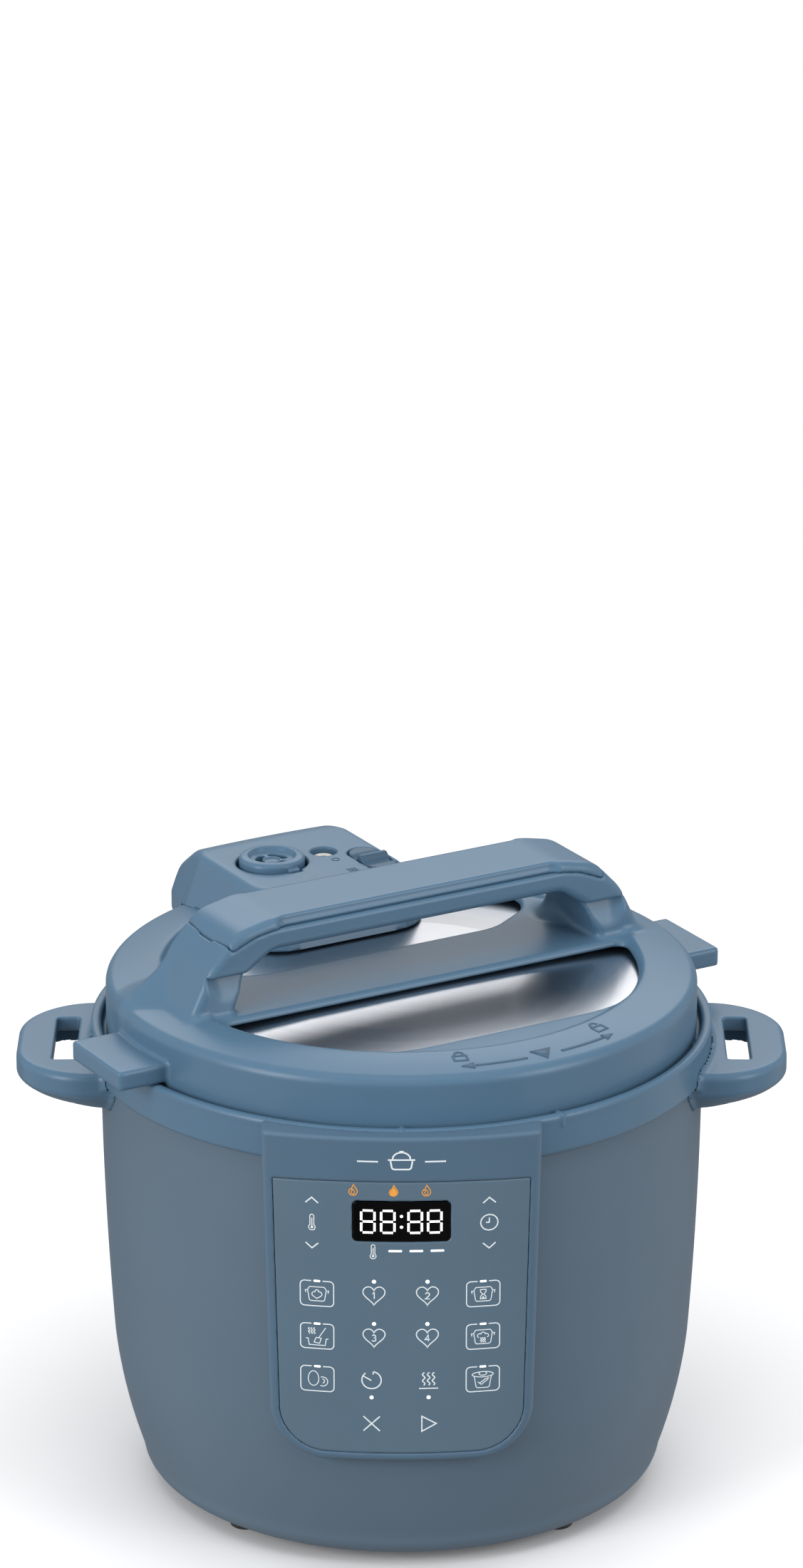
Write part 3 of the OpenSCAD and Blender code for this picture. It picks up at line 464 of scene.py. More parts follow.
def skin(field, lo, hi, step, relax=2):
    """Points and quads of a field's surface inside lo..hi: one point in each cell that it crosses."""
    step = step * COARSE
    lo = np.array(lo, float) - 1.5 * step
    size = np.ceil((np.array(hi, float) + 1.5 * step - lo) / step).astype(int) + 1
    axes = [(lo[k] + step * np.arange(size[k])).astype(np.float32) for k in range(3)]
    value = np.empty(tuple(size), np.float32)
    for i in range(0, size[0], 48):
        x = axes[0][i:i + 48, None, None]
        value[i:i + 48] = field(x, axes[1][None, :, None], axes[2][None, None, :])
    inside = value < 0
    count = np.zeros(tuple(size - 1), np.int8)
    corners = [(a, b, c) for a in (0, 1) for b in (0, 1) for c in (0, 1)]
    for a, b, c in corners:
        count += inside[a:size[0] - 1 + a, b:size[1] - 1 + b, c:size[2] - 1 + c]
    cells = np.argwhere((count > 0) & (count < 8))
    total, crossings = np.zeros((len(cells), 3)), np.zeros(len(cells))
    for a in corners:
        for axis in range(3):
            if a[axis]:
                continue
            b = tuple(1 if k == axis else a[k] for k in range(3))
            va, vb = (value[tuple((cells + c).T)].astype(float) for c in (a, b))
            hit = (va < 0) != (vb < 0)
            t = va[hit] / (va[hit] - vb[hit])
            p = np.tile(np.array(a, float), (hit.sum(), 1))
            p[:, axis] += t
            total[hit] += p
            crossings[hit] += 1
    points = lo + step * (cells + total / crossings[:, None])
    index = np.full(tuple(size - 1), -1, np.int64)
    index[tuple(cells.T)] = np.arange(len(cells))
    quads = []
    for axis in range(3):
        one, two = (inside.take(range(k, size[axis] - 1 + k), axis) for k in (0, 1))
        at = np.argwhere(one != two)
        du, dv = np.eye(3, dtype=int)[[(axis + 1) % 3, (axis + 2) % 3]]
        quad = np.stack([index[tuple((at - d).T)] for d in (du + dv, dv, 0 * du, du)], 1)
        quads.append(np.where(one[tuple(at.T)][:, None], quad, quad[:, ::-1]))
    quads = np.concatenate(quads)

    def settle(p, times):
        for _ in range(times):
            slope = slope_of(field, p)
            move = field(*p.T)[:, None] * slope / np.maximum((slope ** 2).sum(1), 0.05)[:, None]
            length = np.linalg.norm(move, axis=1, keepdims=True)
            p = p - move * np.minimum(1.0, 0.6 * step / np.maximum(length, 1e-9))
        return p

    points = settle(points, 3)
    for _ in range(relax):
        near, shares = np.zeros_like(points), np.zeros(len(points))
        for k in range(4):
            for m in (quads[:, (k + 1) % 4], quads[:, k - 1]):
                for axis in range(3):
                    near[:, axis] += np.bincount(quads[:, k], points[m, axis], len(points))
                shares += np.bincount(quads[:, k], minlength=len(points))
        points = settle(points + 0.5 * (near / np.maximum(shares, 1)[:, None] - points), 2)
    return points, quads


def skin_piece(name, field, lo, hi, step, material, slot, node, body="base", sharp=0, turn=0.0):
    """New piece from a field's surface, in place of a CAD node."""
    points, quads = skin(field, lo, hi, step)
    if turn:
        points = turned(points, turn)
    return add_piece(name, points, quads, body, material, slot, [node], sharp)


def join(*parts):
    """Several (points, faces) as one."""
    points, faces, start = [], [], 0
    for p, f in parts:
        points.append(np.asarray(p, float))
        faces += [[v + start for v in face] for face in f]
        start += len(p)
    return np.concatenate(points), faces


def unit(v):
    return v / np.maximum(np.linalg.norm(v, axis=1), 1e-9)[:, None]


def ribbon(path, width, place, height=0.08, closed=False, sink=0.05):
    """Thin raised line along a path of (u, v). place(u, v, h) puts it on a surface, h above it."""
    path = np.array(path, float)
    leave = unit(np.roll(path, -1, 0) - path)
    arrive = np.roll(leave, 1, 0)
    if not closed:
        arrive[0], leave[-1] = leave[0], arrive[-1]
    along = unit(arrive + leave)
    side = np.stack([-along[:, 1], along[:, 0]], 1)
    stretch = 1.0 / np.clip(np.maximum((along * arrive).sum(1), (along * leave).sum(1)), 0.45, 1.0)
    off = side * (width / 2 * stretch)[:, None]
    left, right = path + off, path - off
    points, n = [], len(path)
    for h in (height, -sink):
        for line in (left, right):
            points += [place(u, v, h) for u, v in line]
    faces = []
    for i in range(n if closed else n - 1):
        j = (i + 1) % n
        top_l, top_r, low_l, low_r = (np.array([i, j]) + k * n for k in range(4))
        faces += [(top_r[0], top_r[1], top_l[1], top_l[0]), (low_l[0], low_l[1], low_r[1], low_r[0]),
                  (top_l[0], top_l[1], low_l[1], low_l[0]), (low_r[0], low_r[1], top_r[1], top_r[0])]
    if not closed:
        e = n - 1
        faces += [(0, 2 * n, 3 * n, n), (e, n + e, 3 * n + e, 2 * n + e)]
    return np.array(points), faces


def patch(outline, place, height=0.08, sink=0.05):
    """Flat filled shape on a surface, from a closed convex or star-shaped outline of (u, v)."""
    outline = list(outline)
    n = len(outline)
    middle = np.mean(outline, 0)
    points = [place(*middle, height)] + [place(u, v, height) for u, v in outline]
    points += [place(*middle, -sink)] + [place(u, v, -sink) for u, v in outline]
    faces = []
    for i in range(n):
        j = (i + 1) % n
        faces += [(0, 1 + i, 1 + j), (n + 1, n + 2 + j, n + 2 + i), (1 + i, n + 2 + i, n + 2 + j, 1 + j)]
    return np.array(points), faces


def arc(cu, cv, r, a0, a1, steps=16, squash=1.0):
    """Points of an arc, in degrees."""
    return [(cu + r * math.cos(math.radians(a0 + (a1 - a0) * k / steps)),
             cv + r * squash * math.sin(math.radians(a0 + (a1 - a0) * k / steps))) for k in range(steps + 1)]


# ------------------------ base: shell, collar and handles

CREASE_Z = 62.0
WALL = 2.2
BODY_R = 120.4
HANDLE_Z = COLLAR_TOP - 10.5
HANDLE_TIP = high("handle_right", 0)


def shell_r(z):
    """Outside radius of the body at a height."""
    if z >= CREASE_Z:
        return BODY_R - 4.2 * ((BAND_Z - z) / (BAND_Z - CREASE_Z)) ** 2
    return BODY_R - 4.2 - 0.1 * (CREASE_Z - z) - 0.0026 * (CREASE_Z - z) ** 2


def box_points(x0, x1, y0, y1, z0, z1, edge=0.0):
    """Box with its upright-in-Y edges rounded, as points and faces, for cutting."""
    outline = rounded([(x0, z0, edge), (x1, z0, edge), (x1, z1, edge), (x0, z1, edge)])
    n = len(outline)
    points = [(u, y0, v) for u, v in outline] + [(u, y1, v) for u, v in outline]
    faces = [(i, n + i, n + (i + 1) % n, (i + 1) % n) for i in range(n)]
    return points, faces + [tuple(range(n)), tuple(range(n, 2 * n))[::-1]]


def cut_with(obj, *solids):
    """Takes solids out of a piece for good."""
    for points, faces in solids:
        mesh = bpy.data.meshes.new("cutter")
        mesh.from_pydata((np.asarray(points, float) * MM).tolist(), [], [list(f) for f in faces])
        tool = bpy.data.objects.new("cutter", mesh)
        bpy.context.scene.collection.objects.link(tool)
        change = obj.modifiers.new("cut", "BOOLEAN")
        change.object, change.operation, change.solver = tool, "DIFFERENCE", "EXACT"
        made = bpy.data.meshes.new_from_object(obj.evaluated_get(bpy.context.evaluated_depsgraph_get()))
        obj.modifiers.clear()
        obj.data = made
        bpy.data.objects.remove(tool)
    obj.data.polygons.foreach_set("use_smooth", [True] * len(obj.data.polygons))
    obj.data.set_sharp_from_angle(angle=math.radians(32))


INLET_Z = (low("power_inlet", 2) + high("power_inlet", 2)) / 2


def make_shell():
    """Turned body with a crease low on its side, and openings for the inlet and the panel."""
    turn_z, turn_r = 14.0, 9.0
    outer = [(shell_r(turn_z) - turn_r + turn_r * math.cos(math.radians(a)),
              turn_z - turn_r * math.sin(math.radians(a))) for a in range(90, 0, -9)]
    outer += [(shell_r(z), z) for z in np.linspace(turn_z, CREASE_Z - 3, 14)]
    crease = np.linspace(CREASE_Z - 2.4, CREASE_Z + 2.4, 5)
    soft = [(0.5 * shell_r(z) + 0.25 * (shell_r(z - 2) + shell_r(z + 2)), z) for z in crease]
    outer += soft + [(shell_r(z), z) for z in np.linspace(CREASE_Z + 3, BAND_Z - 0.5, 16)]
    outer += [(BODY_R - 0.4, BAND_Z - 0.1), (BODY_R - 0.4, BAND_Z + 4)]
    inner = [(r - WALL, z) for r, z in outer if z > 14][::-1]
    foot = [(99.0, 12.2), (70.0, 12.2), (70.0, 8.4), (95.3, 8.4), (95.3, 5.0)]
    shell = add_piece("outer_shell_skin", *lathe(outer + inner + foot), "base", blue_matte,
                      "blue_plastic", ["outer_shell"])
    half_w, half_h = INLET_HALF_W + 0.3, INLET_HALF_H + 0.3
    cut_with(shell, box_points(-half_w, half_w, 90, 125, INLET_Z - half_h, INLET_Z + half_h, 2.0),
             box_points(-46, 46, -125, -85, 64, 172))


LIP_IN, RIM_IN = 119.9, 121.0
FLOOR_IN, FLOOR_THICK = 109.9, 2.4
REAR_RISE, REAR_FROM, REAR_TO = 5.6, 40, 155
SKIRT_IN, SKIRT_OUT = 113.5, 117.9
POST_X, POST_Y = 118.4, 26
FLANGE_R = high("heat_chamber", 0)


def radial(x, y, degrees):
    """Distances along and across a direction from the cooker's axis."""
    c, s = math.cos(math.radians(degrees)), math.sin(math.radians(degrees))
    return x * c + y * s, -x * s + y * c


def collar_field(x, y, z):
    """Round wall with a well for the lid, a rim raised at the rear, two ticks and four posts."""
    r = np.hypot(x, y)
    a = np.degrees(np.arctan2(y, x))
    rim_h = REAR_RISE * smooth_step(a, REAR_FROM, REAR_FROM + 5) * (1 - smooth_step(a, REAR_TO - 5, REAR_TO))
    band = both(both(r - COLLAR_R, BAND_Z - z, 0.8), RIM_IN - 0.3 - r)
    band = both(band, z - COLLAR_TOP, 1.3)
    lip = both(r - COLLAR_R, LIP_IN - r)
    band = either(band, both(both(lip, z - COLLAR_TOP, 1.2), FLOOR_Z - FLOOR_THICK - z))
    raised = both(both(r - COLLAR_R + 0.3, RIM_IN - r, 0.9), z - COLLAR_TOP - rim_h, 0.9)
    raised = np.maximum(raised, COLLAR_TOP - 2 - z)
    floor = both(both(r - RIM_IN, FLOOR_IN - r), slab(z, FLOOR_Z - FLOOR_THICK, FLOOR_Z), 0.5)
    floor = both(floor, -both(r - FLANGE_R - 0.3, FLOOR_Z - 0.65 - z))
    skirt = both(both(r - SKIRT_OUT, SKIRT_IN - r), slab(z, BAND_Z + 2, FLOOR_Z - 1), 0.4)
    whole = either(either(either(band, floor, 1.2), raised, 0.8), skirt, 0.5)
    for angle in (-90, -60):
        along, across = radial(x, y, angle)
        tick = both(box_outline(along, across, 400, 0.75, 0.6), 119.0 - along)
        tick = both(tick, slab(z, COLLAR_TOP - 4.6, COLLAR_TOP + 0.5))
        whole = either(whole, both(tick, r - COLLAR_R - 0.6, 0.5), 0.5)
    for side in (-1, 1):
        for across in (-POST_Y, POST_Y):
            post = both(box_outline(x - side * POST_X, y - across, 2.2, 2.6, 1.0),
                        slab(z, FLOOR_Z - 1, COLLAR_TOP - 0.8), 0.6)
            whole = either(whole, both(post, r - RIM_IN), 0.6)
    return whole


def make_collar():
    out = COLLAR_R + 1
    skin_piece("top_collar_skin", collar_field, (-out, -out, BAND_Z), (out, out, COLLAR_TOP + 6), 0.95,
               blue_satin, "blue_plastic", "top_collar")


SLOT_X = (129.6, 138.9)
SLOT_HALF = 22.5


def handle_field(x, y, z):
    """Right-hand side handle: a rounded ear, hollow below, with a slot for a lid fin."""
    r = np.hypot(x, y)
    top, bottom = HANDLE_Z, HANDLE_Z - 20
    under = smooth_step(z, bottom + 12, bottom)
    tip, half = HANDLE_TIP - 9 * under, 41 - 8 * under
    ear = box_outline(x - (80 + tip) / 2, y, (tip - 80) / 2, half, 31)
    ear = both(both(ear, z - top, 3.0), bottom - z, 5.0)
    ear = both(ear, 105 - x)
    crown = ear + 0.25 * smooth_step(x, 128, 154)
    hollow = box_outline(x - 122, y, 27, 34, 24)
    hollow = both(both(hollow, z - (top - 3.2), 2.0), bottom - 3 - z)
    frame_box = both(box_outline(x - 134.25, y, 7.2, SLOT_HALF + 2.6, 1.5), top - 6 - z)
    hollow = both(hollow, -frame_box, 1.5)
    whole = without(crown, hollow, 0.8)
    collar = both(r - COLLAR_R + 0.1, slab(z, BAND_Z, COLLAR_TOP - 1))
    body = both(r - BODY_R + 0.2, z - BAND_Z)
    whole = either(whole, either(collar, body), 3.2)
    slot_hole = box_outline(x - (SLOT_X[0] + SLOT_X[1]) / 2, y, (SLOT_X[1] - SLOT_X[0]) / 2, SLOT_HALF, 1.6)
    whole = without(whole, slot_hole, 0.9)
    whole = both(whole, COLLAR_R + 0.05 - r - 3.7 * smooth_step(z, BAND_Z + 0.2, BAND_Z - 0.2))
    whole = both(whole, 112 - x)
    return both(whole, np.abs(y) - 46)


def make_handles():
    points, quads = skin(handle_field, (112, -45, HANDLE_Z - 21), (155, 45, HANDLE_Z + 4), 0.75)
    for side, way in (("right", 1), ("left", -1)):
        add_piece(f"handle_{side}_skin", points * (way, 1, 1), quads[:, ::way], "base", blue_satin,
                  "blue_plastic", [f"handle_{side}"], sharp=50)


# ------------------------ control panel

PANEL_HALF, PANEL_FRONT, PANEL_CURVE = 53.8, 131.0, 190.0
PANEL_LOW = low("panel_housing", 2)
PANEL_TILT = math.atan((PANEL_FRONT - 121.0) / (COLLAR_TOP - PANEL_LOW))
FILM_TOP = COLLAR_TOP - 18.5
FILM_INSET = 3.8
FILM_DEEP, GLASS_DEEP = 0.15, 0.10
WINDOW_Z = (low("display_window", 2) + high("display_window", 2)) / 2
WINDOW_W = high("display_window", 0) - low("display_window", 0)
WINDOW_H = high("display_window", 2) - low("display_window", 2)


def front_field(x, y, z):
    """Distance in front of the panel's curved, leaning face."""
    c, s = math.cos(PANEL_TILT), math.sin(PANEL_TILT)
    v, w = y - (PANEL_CURVE - PANEL_FRONT), z - COLLAR_TOP
    return np.hypot(x, v * c + w * s) - PANEL_CURVE


def on_panel(x, z, h=0.0):
    """Point of the panel's face at a place across and a height, h in front of it."""
    c, s = math.cos(PANEL_TILT), math.sin(PANEL_TILT)
    near = -math.sqrt((PANEL_CURVE + h) ** 2 - x * x)
    lift = (z - COLLAR_TOP - near * s) / c
    return x, PANEL_CURVE - PANEL_FRONT + near * c - lift * s, z


def panel_shape(x, z, inset, top, corner=25.0):
    half, r = PANEL_HALF - inset, corner - inset
    narrow = 3.0 * np.clip((COLLAR_TOP - z) / (COLLAR_TOP - PANEL_LOW), 0, 1)
    low_z = PANEL_LOW + inset
    middle, tall = (low_z + top + 60) / 2, (top + 60 - low_z) / 2
    return box_outline(x, z - middle, half, tall, r) + narrow


def film_rise(x, z):
    """Height over the film's top edge, which droops a little towards its ends."""
    return z - FILM_TOP + 0.8 * (x / 50) ** 2


def housing_field(x, y, z):
    """Panel housing: a shallow tray for the film, an opening for the display, and a back along the shell."""
    r = np.hypot(x, y)
    front = front_field(x, y, z)
    side = panel_shape(x, z, 0, COLLAR_TOP)
    body = both(both(side, front, 2.2), z - COLLAR_TOP + 0.1, 1.3)
    tray = both(panel_shape(x, z, FILM_INSET, FILM_TOP), film_rise(x, z), 1.0)
    body = without(body, both(tray, -1.6 - front), 0.5)
    window = both(np.abs(x) - WINDOW_W / 2 + 1, np.abs(z - WINDOW_Z) - WINDOW_H / 2 + 1)
    body = without(body, window)
    slope = np.interp(z, [5.0, CREASE_Z, 100, 140, BAND_Z], [111.0, 116.2, 118.5, 119.9, BODY_R])
    wall = np.where(z > BAND_Z, COLLAR_R + 0.1, slope + 0.1)
    return both(body, wall - r)


def film_field(x, y, z):
    front = front_field(x, y, z) + FILM_DEEP
    edge = both(panel_shape(x, z, FILM_INSET + 0.14, FILM_TOP), film_rise(x, z) + 0.16, 0.8)
    film = both(both(edge, front, 0.45), -1.6 - front)
    hole = box_outline(x, z - WINDOW_Z, WINDOW_W / 2 + 0.1, WINDOW_H / 2 + 0.1, 2.0)
    return without(film, hole, 0.2)


def window_field(x, y, z):
    front = front_field(x, y, z) + GLASS_DEEP
    return both(both(box_outline(x, z - WINDOW_Z, WINDOW_W / 2, WINDOW_H / 2, 1.9), front, 0.2), -1.3 - front)


glow = moulded("white_print", srgb(228, 236, 240), 0.45, spread=0.02)
amber = moulded("amber_print", srgb(240, 165, 70), 0.45, spread=0.1)
tinted = moulded("tinted_window", srgb(3, 3, 4), 0.16, grain_depth=0.0005, spread=0.3,
                 Specular_IOR_Level=0.08)


def lit(name, strength):
    glare = srgb(250, 252, 255)
    return moulded(name, glare, 0.4, spread=0.04, Emission_Color=(*glare, 1.0), Emission_Strength=strength)


digits_lit = lit("lit_segments", 1.1)
print_lit = lit("lit_marks", 0.5)


def digit_parts(u, v, w, h):
    """Seven bars of one digit, centred on (u, v)."""
    t, gap = 0.88, 0.28
    bars = []
    for level in (-1, 0, 1):
        bars.append([(u - w / 2 + gap + 0.3, v + level * h / 2), (u + w / 2 - gap - 0.3, v + level * h / 2)])
    for side in (-1, 1):
        for level in (-1, 1):
            x = u + side * w / 2
            bars.append([(x, v + level * (gap + 0.25)), (x, v + level * (h / 2 - gap - 0.25))])
    return [ribbon(bar, t, on_glass, height=0.06) for bar in bars]


def on_glass(u, v, h):
    return on_panel(u, v, h - GLASS_DEEP)


def on_film(u, v, h):
    return on_panel(u, v, h - FILM_DEEP)


def make_display():
    lo, hi = (-PANEL_HALF, -PANEL_FRONT, PANEL_LOW), (PANEL_HALF, -96, COLLAR_TOP)
    skin_piece("panel_housing_skin", housing_field, lo, hi, 0.72, blue_panel, "blue_plastic", "panel_housing")
    skin_piece("control_film", film_field, lo, hi, 0.6, panel_film, "panel_film", "control_overlay")
    lo, hi = (-WINDOW_W / 2, -130, WINDOW_Z - WINDOW_H / 2), (WINDOW_W / 2, -124, WINDOW_Z + WINDOW_H / 2)
    skin_piece("display_glass", window_field, lo, hi, 0.5, tinted, "display_black", "display_window")
    parts = []
    for u in (-12.9, -5.25, 5.25, 12.75):
        parts += digit_parts(u, WINDOW_Z + 0.05, 5.1, 9.4)
    for v in (-2.2, 2.4):
        parts.append(patch(arc(0.0, WINDOW_Z + v, 0.62, 0, 337.5, 15), on_glass, height=0.06))
    add_piece("display_digits", *join(*parts), "base", digits_lit, "display_black")


# ------------------------ printed marks on the film, in millimetres across and up

LINE = 0.42
THIN = 0.34


def line_set(u, v, lines, width=LINE, scale=1.0, closed=()):
    """Several lines about one place. closed names the loops."""
    return [ribbon([(u + a * scale, v + b * scale) for a, b in line], width, on_film, closed=i in closed)
            for i, line in enumerate(lines)]


def dot(u, v, r=0.8):
    return patch(arc(u, v, r, 0, 345, 23), on_film)


def dash(u, v, w, h=0.9):
    return patch(rounded([(u - w / 2, v - h / 2, 0.3), (u + w / 2, v - h / 2, 0.3),
                          (u + w / 2, v + h / 2, 0.3), (u - w / 2, v + h / 2, 0.3)], 3), on_film)


def chevron(u, v, way):
    return line_set(u, v, [[(-2.45, -1.15 * way), (0, 1.15 * way), (2.45, -1.15 * way)]], 0.5)


def thermometer(u, v, scale=1.0):
    bulb = arc(0, -2.1, 1.25, 128, 412, 20)
    tube = [(0.77, 2.2)] + arc(0, 2.6, 0.77, 0, 180, 8) + [(-0.77, 2.2)]
    parts = line_set(u, v, [bulb + tube], 0.36 * scale, scale, closed=(0,))
    parts += line_set(u, v, [[(0, 1.9), (0, -1.6)]], 0.4 * scale, scale)
    return parts + [patch(arc(u, v - 2.1 * scale, 0.55 * scale, 0, 345, 15), on_film)]


def clock(u, v):
    return line_set(u, v, [arc(0, 0, 3.3, 0, 351, 40), [(0, 2.0), (0, 0), (-1.3, 0)]], 0.48, closed=(0,))


def wave(u, v, h, w=0.55):
    return [(u + w * math.sin(4.2 * math.pi * k / 16), v - h / 2 + h * k / 16) for k in range(17)]


def heart(u, v, number):
    turns = [2 * math.pi * k / 48 for k in range(48)]
    loop = [(0.266 * 16 * math.sin(t) ** 3, 0.280 * (13 * math.cos(t) - 5 * math.cos(2 * t)
             - 2 * math.cos(3 * t) - math.cos(4 * t)) + 0.7) for t in turns]
    strokes = {
        1: [[(-0.75, 1.0), (0.15, 1.75), (0.15, -1.6)]],
        2: [arc(0, 0.75, 1.0, 165, -35, 12) + [(-1.05, -1.6), (1.15, -1.6)]],
        3: [arc(-0.1, 0.82, 0.9, 150, -75, 12) + arc(-0.1, -0.75, 1.0, 75, -150, 12)],
        4: [[(0.45, -1.7), (0.45, 1.75), (-1.15, -0.75), (1.2, -0.75)]]}[number]
    return line_set(u, v, [loop], LINE, closed=(0,)) + line_set(u, v + 0.15, strokes, 0.42, 0.78)


def pot_mark(u, v, scale=1.0):
    """Small outline of a pot with two ears."""
    body = rounded([(-3.6, 1.7), (-2.9, -3.0, 0.9), (2.9, -3.0, 0.9), (3.6, 1.7)], 4, closed=False)
    brim = rounded([(-3.6, 1.7), (-2.9, 3.0, 0.5), (2.9, 3.0, 0.5), (3.6, 1.7)], 4, closed=False)
    ears = [[(-3.6, 1.5), (-4.5, 1.5), (-4.3, 0.4)], [(3.6, 1.5), (4.5, 1.5), (4.3, 0.4)]]
    return line_set(u, v, [body, brim] + ears, THIN, scale)


def cloud_pot(u, v):
    drop = [(0.0, -2.0)] + arc(-0.95, -0.1, 1.0, 235, 75, 10) + arc(0.0, 1.0, 0.75, 150, 30, 8) \
        + arc(0.95, -0.1, 1.0, 105, -55, 10)
    return pot_mark(u, v) + line_set(u, v, [drop], THIN, closed=(0,))


def hourglass_pot(u, v):
    glass = [(-1.1, 2.0), (1.1, 2.0), (1.0, 0.9), (0.2, 0.0), (1.0, -0.9), (1.1, -2.0), (-1.1, -2.0),
             (-1.0, -0.9), (-0.2, 0.0), (-1.0, 0.9)]
    sand = patch([(u - 0.7, v - 1.75), (u + 0.7, v - 1.75), (u, v - 0.8)], on_film)
    return pot_mark(u, v) + line_set(u, v, [glass], THIN, closed=(0,)) + [sand]


def steam_pot(u, v):
    cap = arc(-1.3, 0.5, 0.85, 250, 60, 8) + arc(0, 1.1, 0.9, 150, 30, 8) + arc(1.3, 0.5, 0.85, 120, -70, 8)
    steam = [wave(a, -1.35, 2.1, 0.22) for a in (-0.75, 0, 0.75)]
    return pot_mark(u, v) + line_set(u, v, [cap] + steam, THIN)


def sear_mark(u, v):
    pan = [(-4.4, -0.9), (-3.5, -0.9), (-3.1, -3.7), (3.1, -3.7), (3.5, -0.9), (4.4, -0.9)]
    turner = [(-1.2, -2.5), (0.9, -2.9), (1.6, -0.7), (-0.4, -0.4)]
    steam = [wave(a, 2.4, 2.7, 0.3) for a in (-3.1, -2.1, -1.1)]
    return line_set(u, v, [turner, pan, [(0.6, -0.5), (3.3, 3.9)]] + steam, THIN, closed=(0,))


def eggs_mark(u, v):
    whole = [(-1.5 + 2.05 * math.sin(t), 0.1 + 2.95 * math.cos(t) * (1.0 if math.cos(t) < 0 else 1.15))
             for t in np.linspace(0, 2 * math.pi, 36, endpoint=False)]
    half = arc(2.0, -0.9, 2.0, -115, 108, 20)
    return line_set(u, v, [whole, half, arc(1.9, -0.7, 0.9, -80, 90, 10)], THIN, closed=(0,))


def tub_mark(u, v):
    lid = arc(0, 2.2, 4.1, 0, 348, 29, squash=1.15 / 4.1)
    fruit = arc(0, 2.6, 1.5, 0, 342, 19, squash=0.8 / 1.5)
    body = rounded([(-3.3, 1.3), (-2.5, -3.6, 0.8), (2.5, -3.6, 0.8), (3.3, 1.3)], 4, closed=False)
    leaf = [(-1.9, -1.0), (-0.6, -2.2), (1.9, -0.2), (2.2, 0.5), (0.9, 0.1), (-1.2, -1.6)]
    return line_set(u, v, [lid, fruit, body, leaf], THIN, closed=(0, 1))


BUTTON_H = 5.4


def button(u, v, picture):
    """Rounded frame with a gap in its top edge for a light."""
    w, h, r, gap = 6.45, BUTTON_H, 1.7, 2.2
    edge = rounded([(gap, h), (w, h, r), (w, -h, r), (-w, -h, r), (-w, h, r), (-gap, h)], 6, closed=False)
    return line_set(u, v, [edge], LINE) + picture(u, v - 0.2)


def flame(u, v, filled):
    drop = [(0.2, 2.3), (0.9, 1.2), (1.6, 0.0), (1.65, -1.0), (1.0, -2.0), (0.0, -2.3), (-1.0, -2.0),
            (-1.6, -1.0), (-1.35, 0.1), (-0.8, 0.6), (-0.5, 0.1), (-0.3, 1.3)]
    parts = line_set(u, v, [drop], 0.34, closed=(0,))
    if filled:
        return parts + [patch([(u + a * 0.8, v - 0.25 + b * 0.8) for a, b in drop], on_film)]
    inner = [(0.1, 0.4), (0.7, -0.7), (0.4, -1.6), (-0.4, -1.6), (-0.7, -0.8)]
    return parts + line_set(u, v, [inner], 0.26, closed=(0,))


SIDE_X = 33.0
PRESET_X = 10.6
ROW_Z = (127.5, 109.0, 90.4)


def make_marks():
    marks, lights = [], []
    marks += thermometer(-SIDE_X - 1.4, WINDOW_Z - 1.4) + clock(SIDE_X + 0.7, WINDOW_Z - 1.4)
    for u in (-SIDE_X - 1.4, SIDE_X + 0.7):
        marks += chevron(u, WINDOW_Z + 8.1, 1) + chevron(u, WINDOW_Z - 11.3, -1)
    marks += thermometer(-10.9, 146.6, 0.9)
    for u in (-2.4, 5.7, 13.8):
        lights.append(dash(u, 147.0, 5.2))
    left, right = (cloud_pot, sear_mark, eggs_mark), (hourglass_pot, steam_pot, tub_mark)
    for v, mark_l, mark_r in zip(ROW_Z, left, right):
        marks += button(-SIDE_X + 0.4, v, mark_l) + button(SIDE_X - 1.5, v, mark_r)
        lights += [dash(-SIDE_X + 0.4, v + BUTTON_H, 2.6), dash(SIDE_X - 1.5, v + BUTTON_H, 2.6)]
    for number in (1, 2, 3, 4):
        u = -PRESET_X if number % 2 else PRESET_X - 0.6
        v = 127.4 if number < 3 else 109.1
        marks += heart(u, v, number)
        lights.append(dot(u, v + 6.3))
    timer = arc(0, 0, 3.75, 78, -232, 36)
    marks += line_set(-11.6, 90.9, [timer, [(0.78, 3.67), (0.55, 2.5)], [(-3.0, 1.6), (-0.1, -0.2)]], 0.5)
    marks += line_set(PRESET_X - 0.1, 91.2, [wave(a, 0.3, 5.6, 0.5) for a in (-1.9, 0, 1.9)]
                      + [[(-3.7, -3.9), (3.7, -3.9)]], 0.46)
    lights += [dot(-11.6, 83.3), dot(PRESET_X - 0.1, 83.4)]
    marks += line_set(-11.6, 71.8, [[(-3.2, 3.2), (3.2, -3.2)], [(-3.2, -3.2), (3.2, 3.2)]], 0.5)
    marks += line_set(PRESET_X - 0.1, 71.8, [[(-2.6, 3.3), (3.0, 0), (-2.6, -3.3)]], 0.5, closed=(0,))
    add_piece("panel_icons", *join(*marks), "base", glow, "panel_film")
    add_piece("panel_lights", *join(*lights), "base", print_lit, "panel_film")
    flames = flame(-18.6, 172.8, False) + flame(-3.1, 172.8, True) + flame(9.5, 172.8, False)
    add_piece("panel_flames", *join(*flames), "base", amber, "panel_film")


def make_badge():
    """Plain outline of a lidded pot between two lines, on the strip above the film."""
    v = COLLAR_TOP - 9.0
    body = rounded([(-4.2, 0.4), (-3.6, -3.8, 1.2), (3.6, -3.8, 1.2), (4.2, 0.4)], 5, closed=False)
    lines = [body, [(-5.2, 0.9), (5.2, 0.9)], arc(0, 1.3, 3.4, 0, 180, 16), [(-0.8, 5.1), (0.8, 5.1)],
             [(-17.0, 0.0), (-9.0, 0.0)], [(9.0, 0.0), (17.0, 0.0)]]
    parts = [ribbon([(a, v - 0.8 + b * 0.85) for a, b in line], 0.62, on_panel) for line in lines]
    add_piece("panel_badge", *join(*parts), "base", glow, "panel_film")


# ------------------------ lock ring, chamber and heater

RING_R, NECK_R = 101.0, 105.2


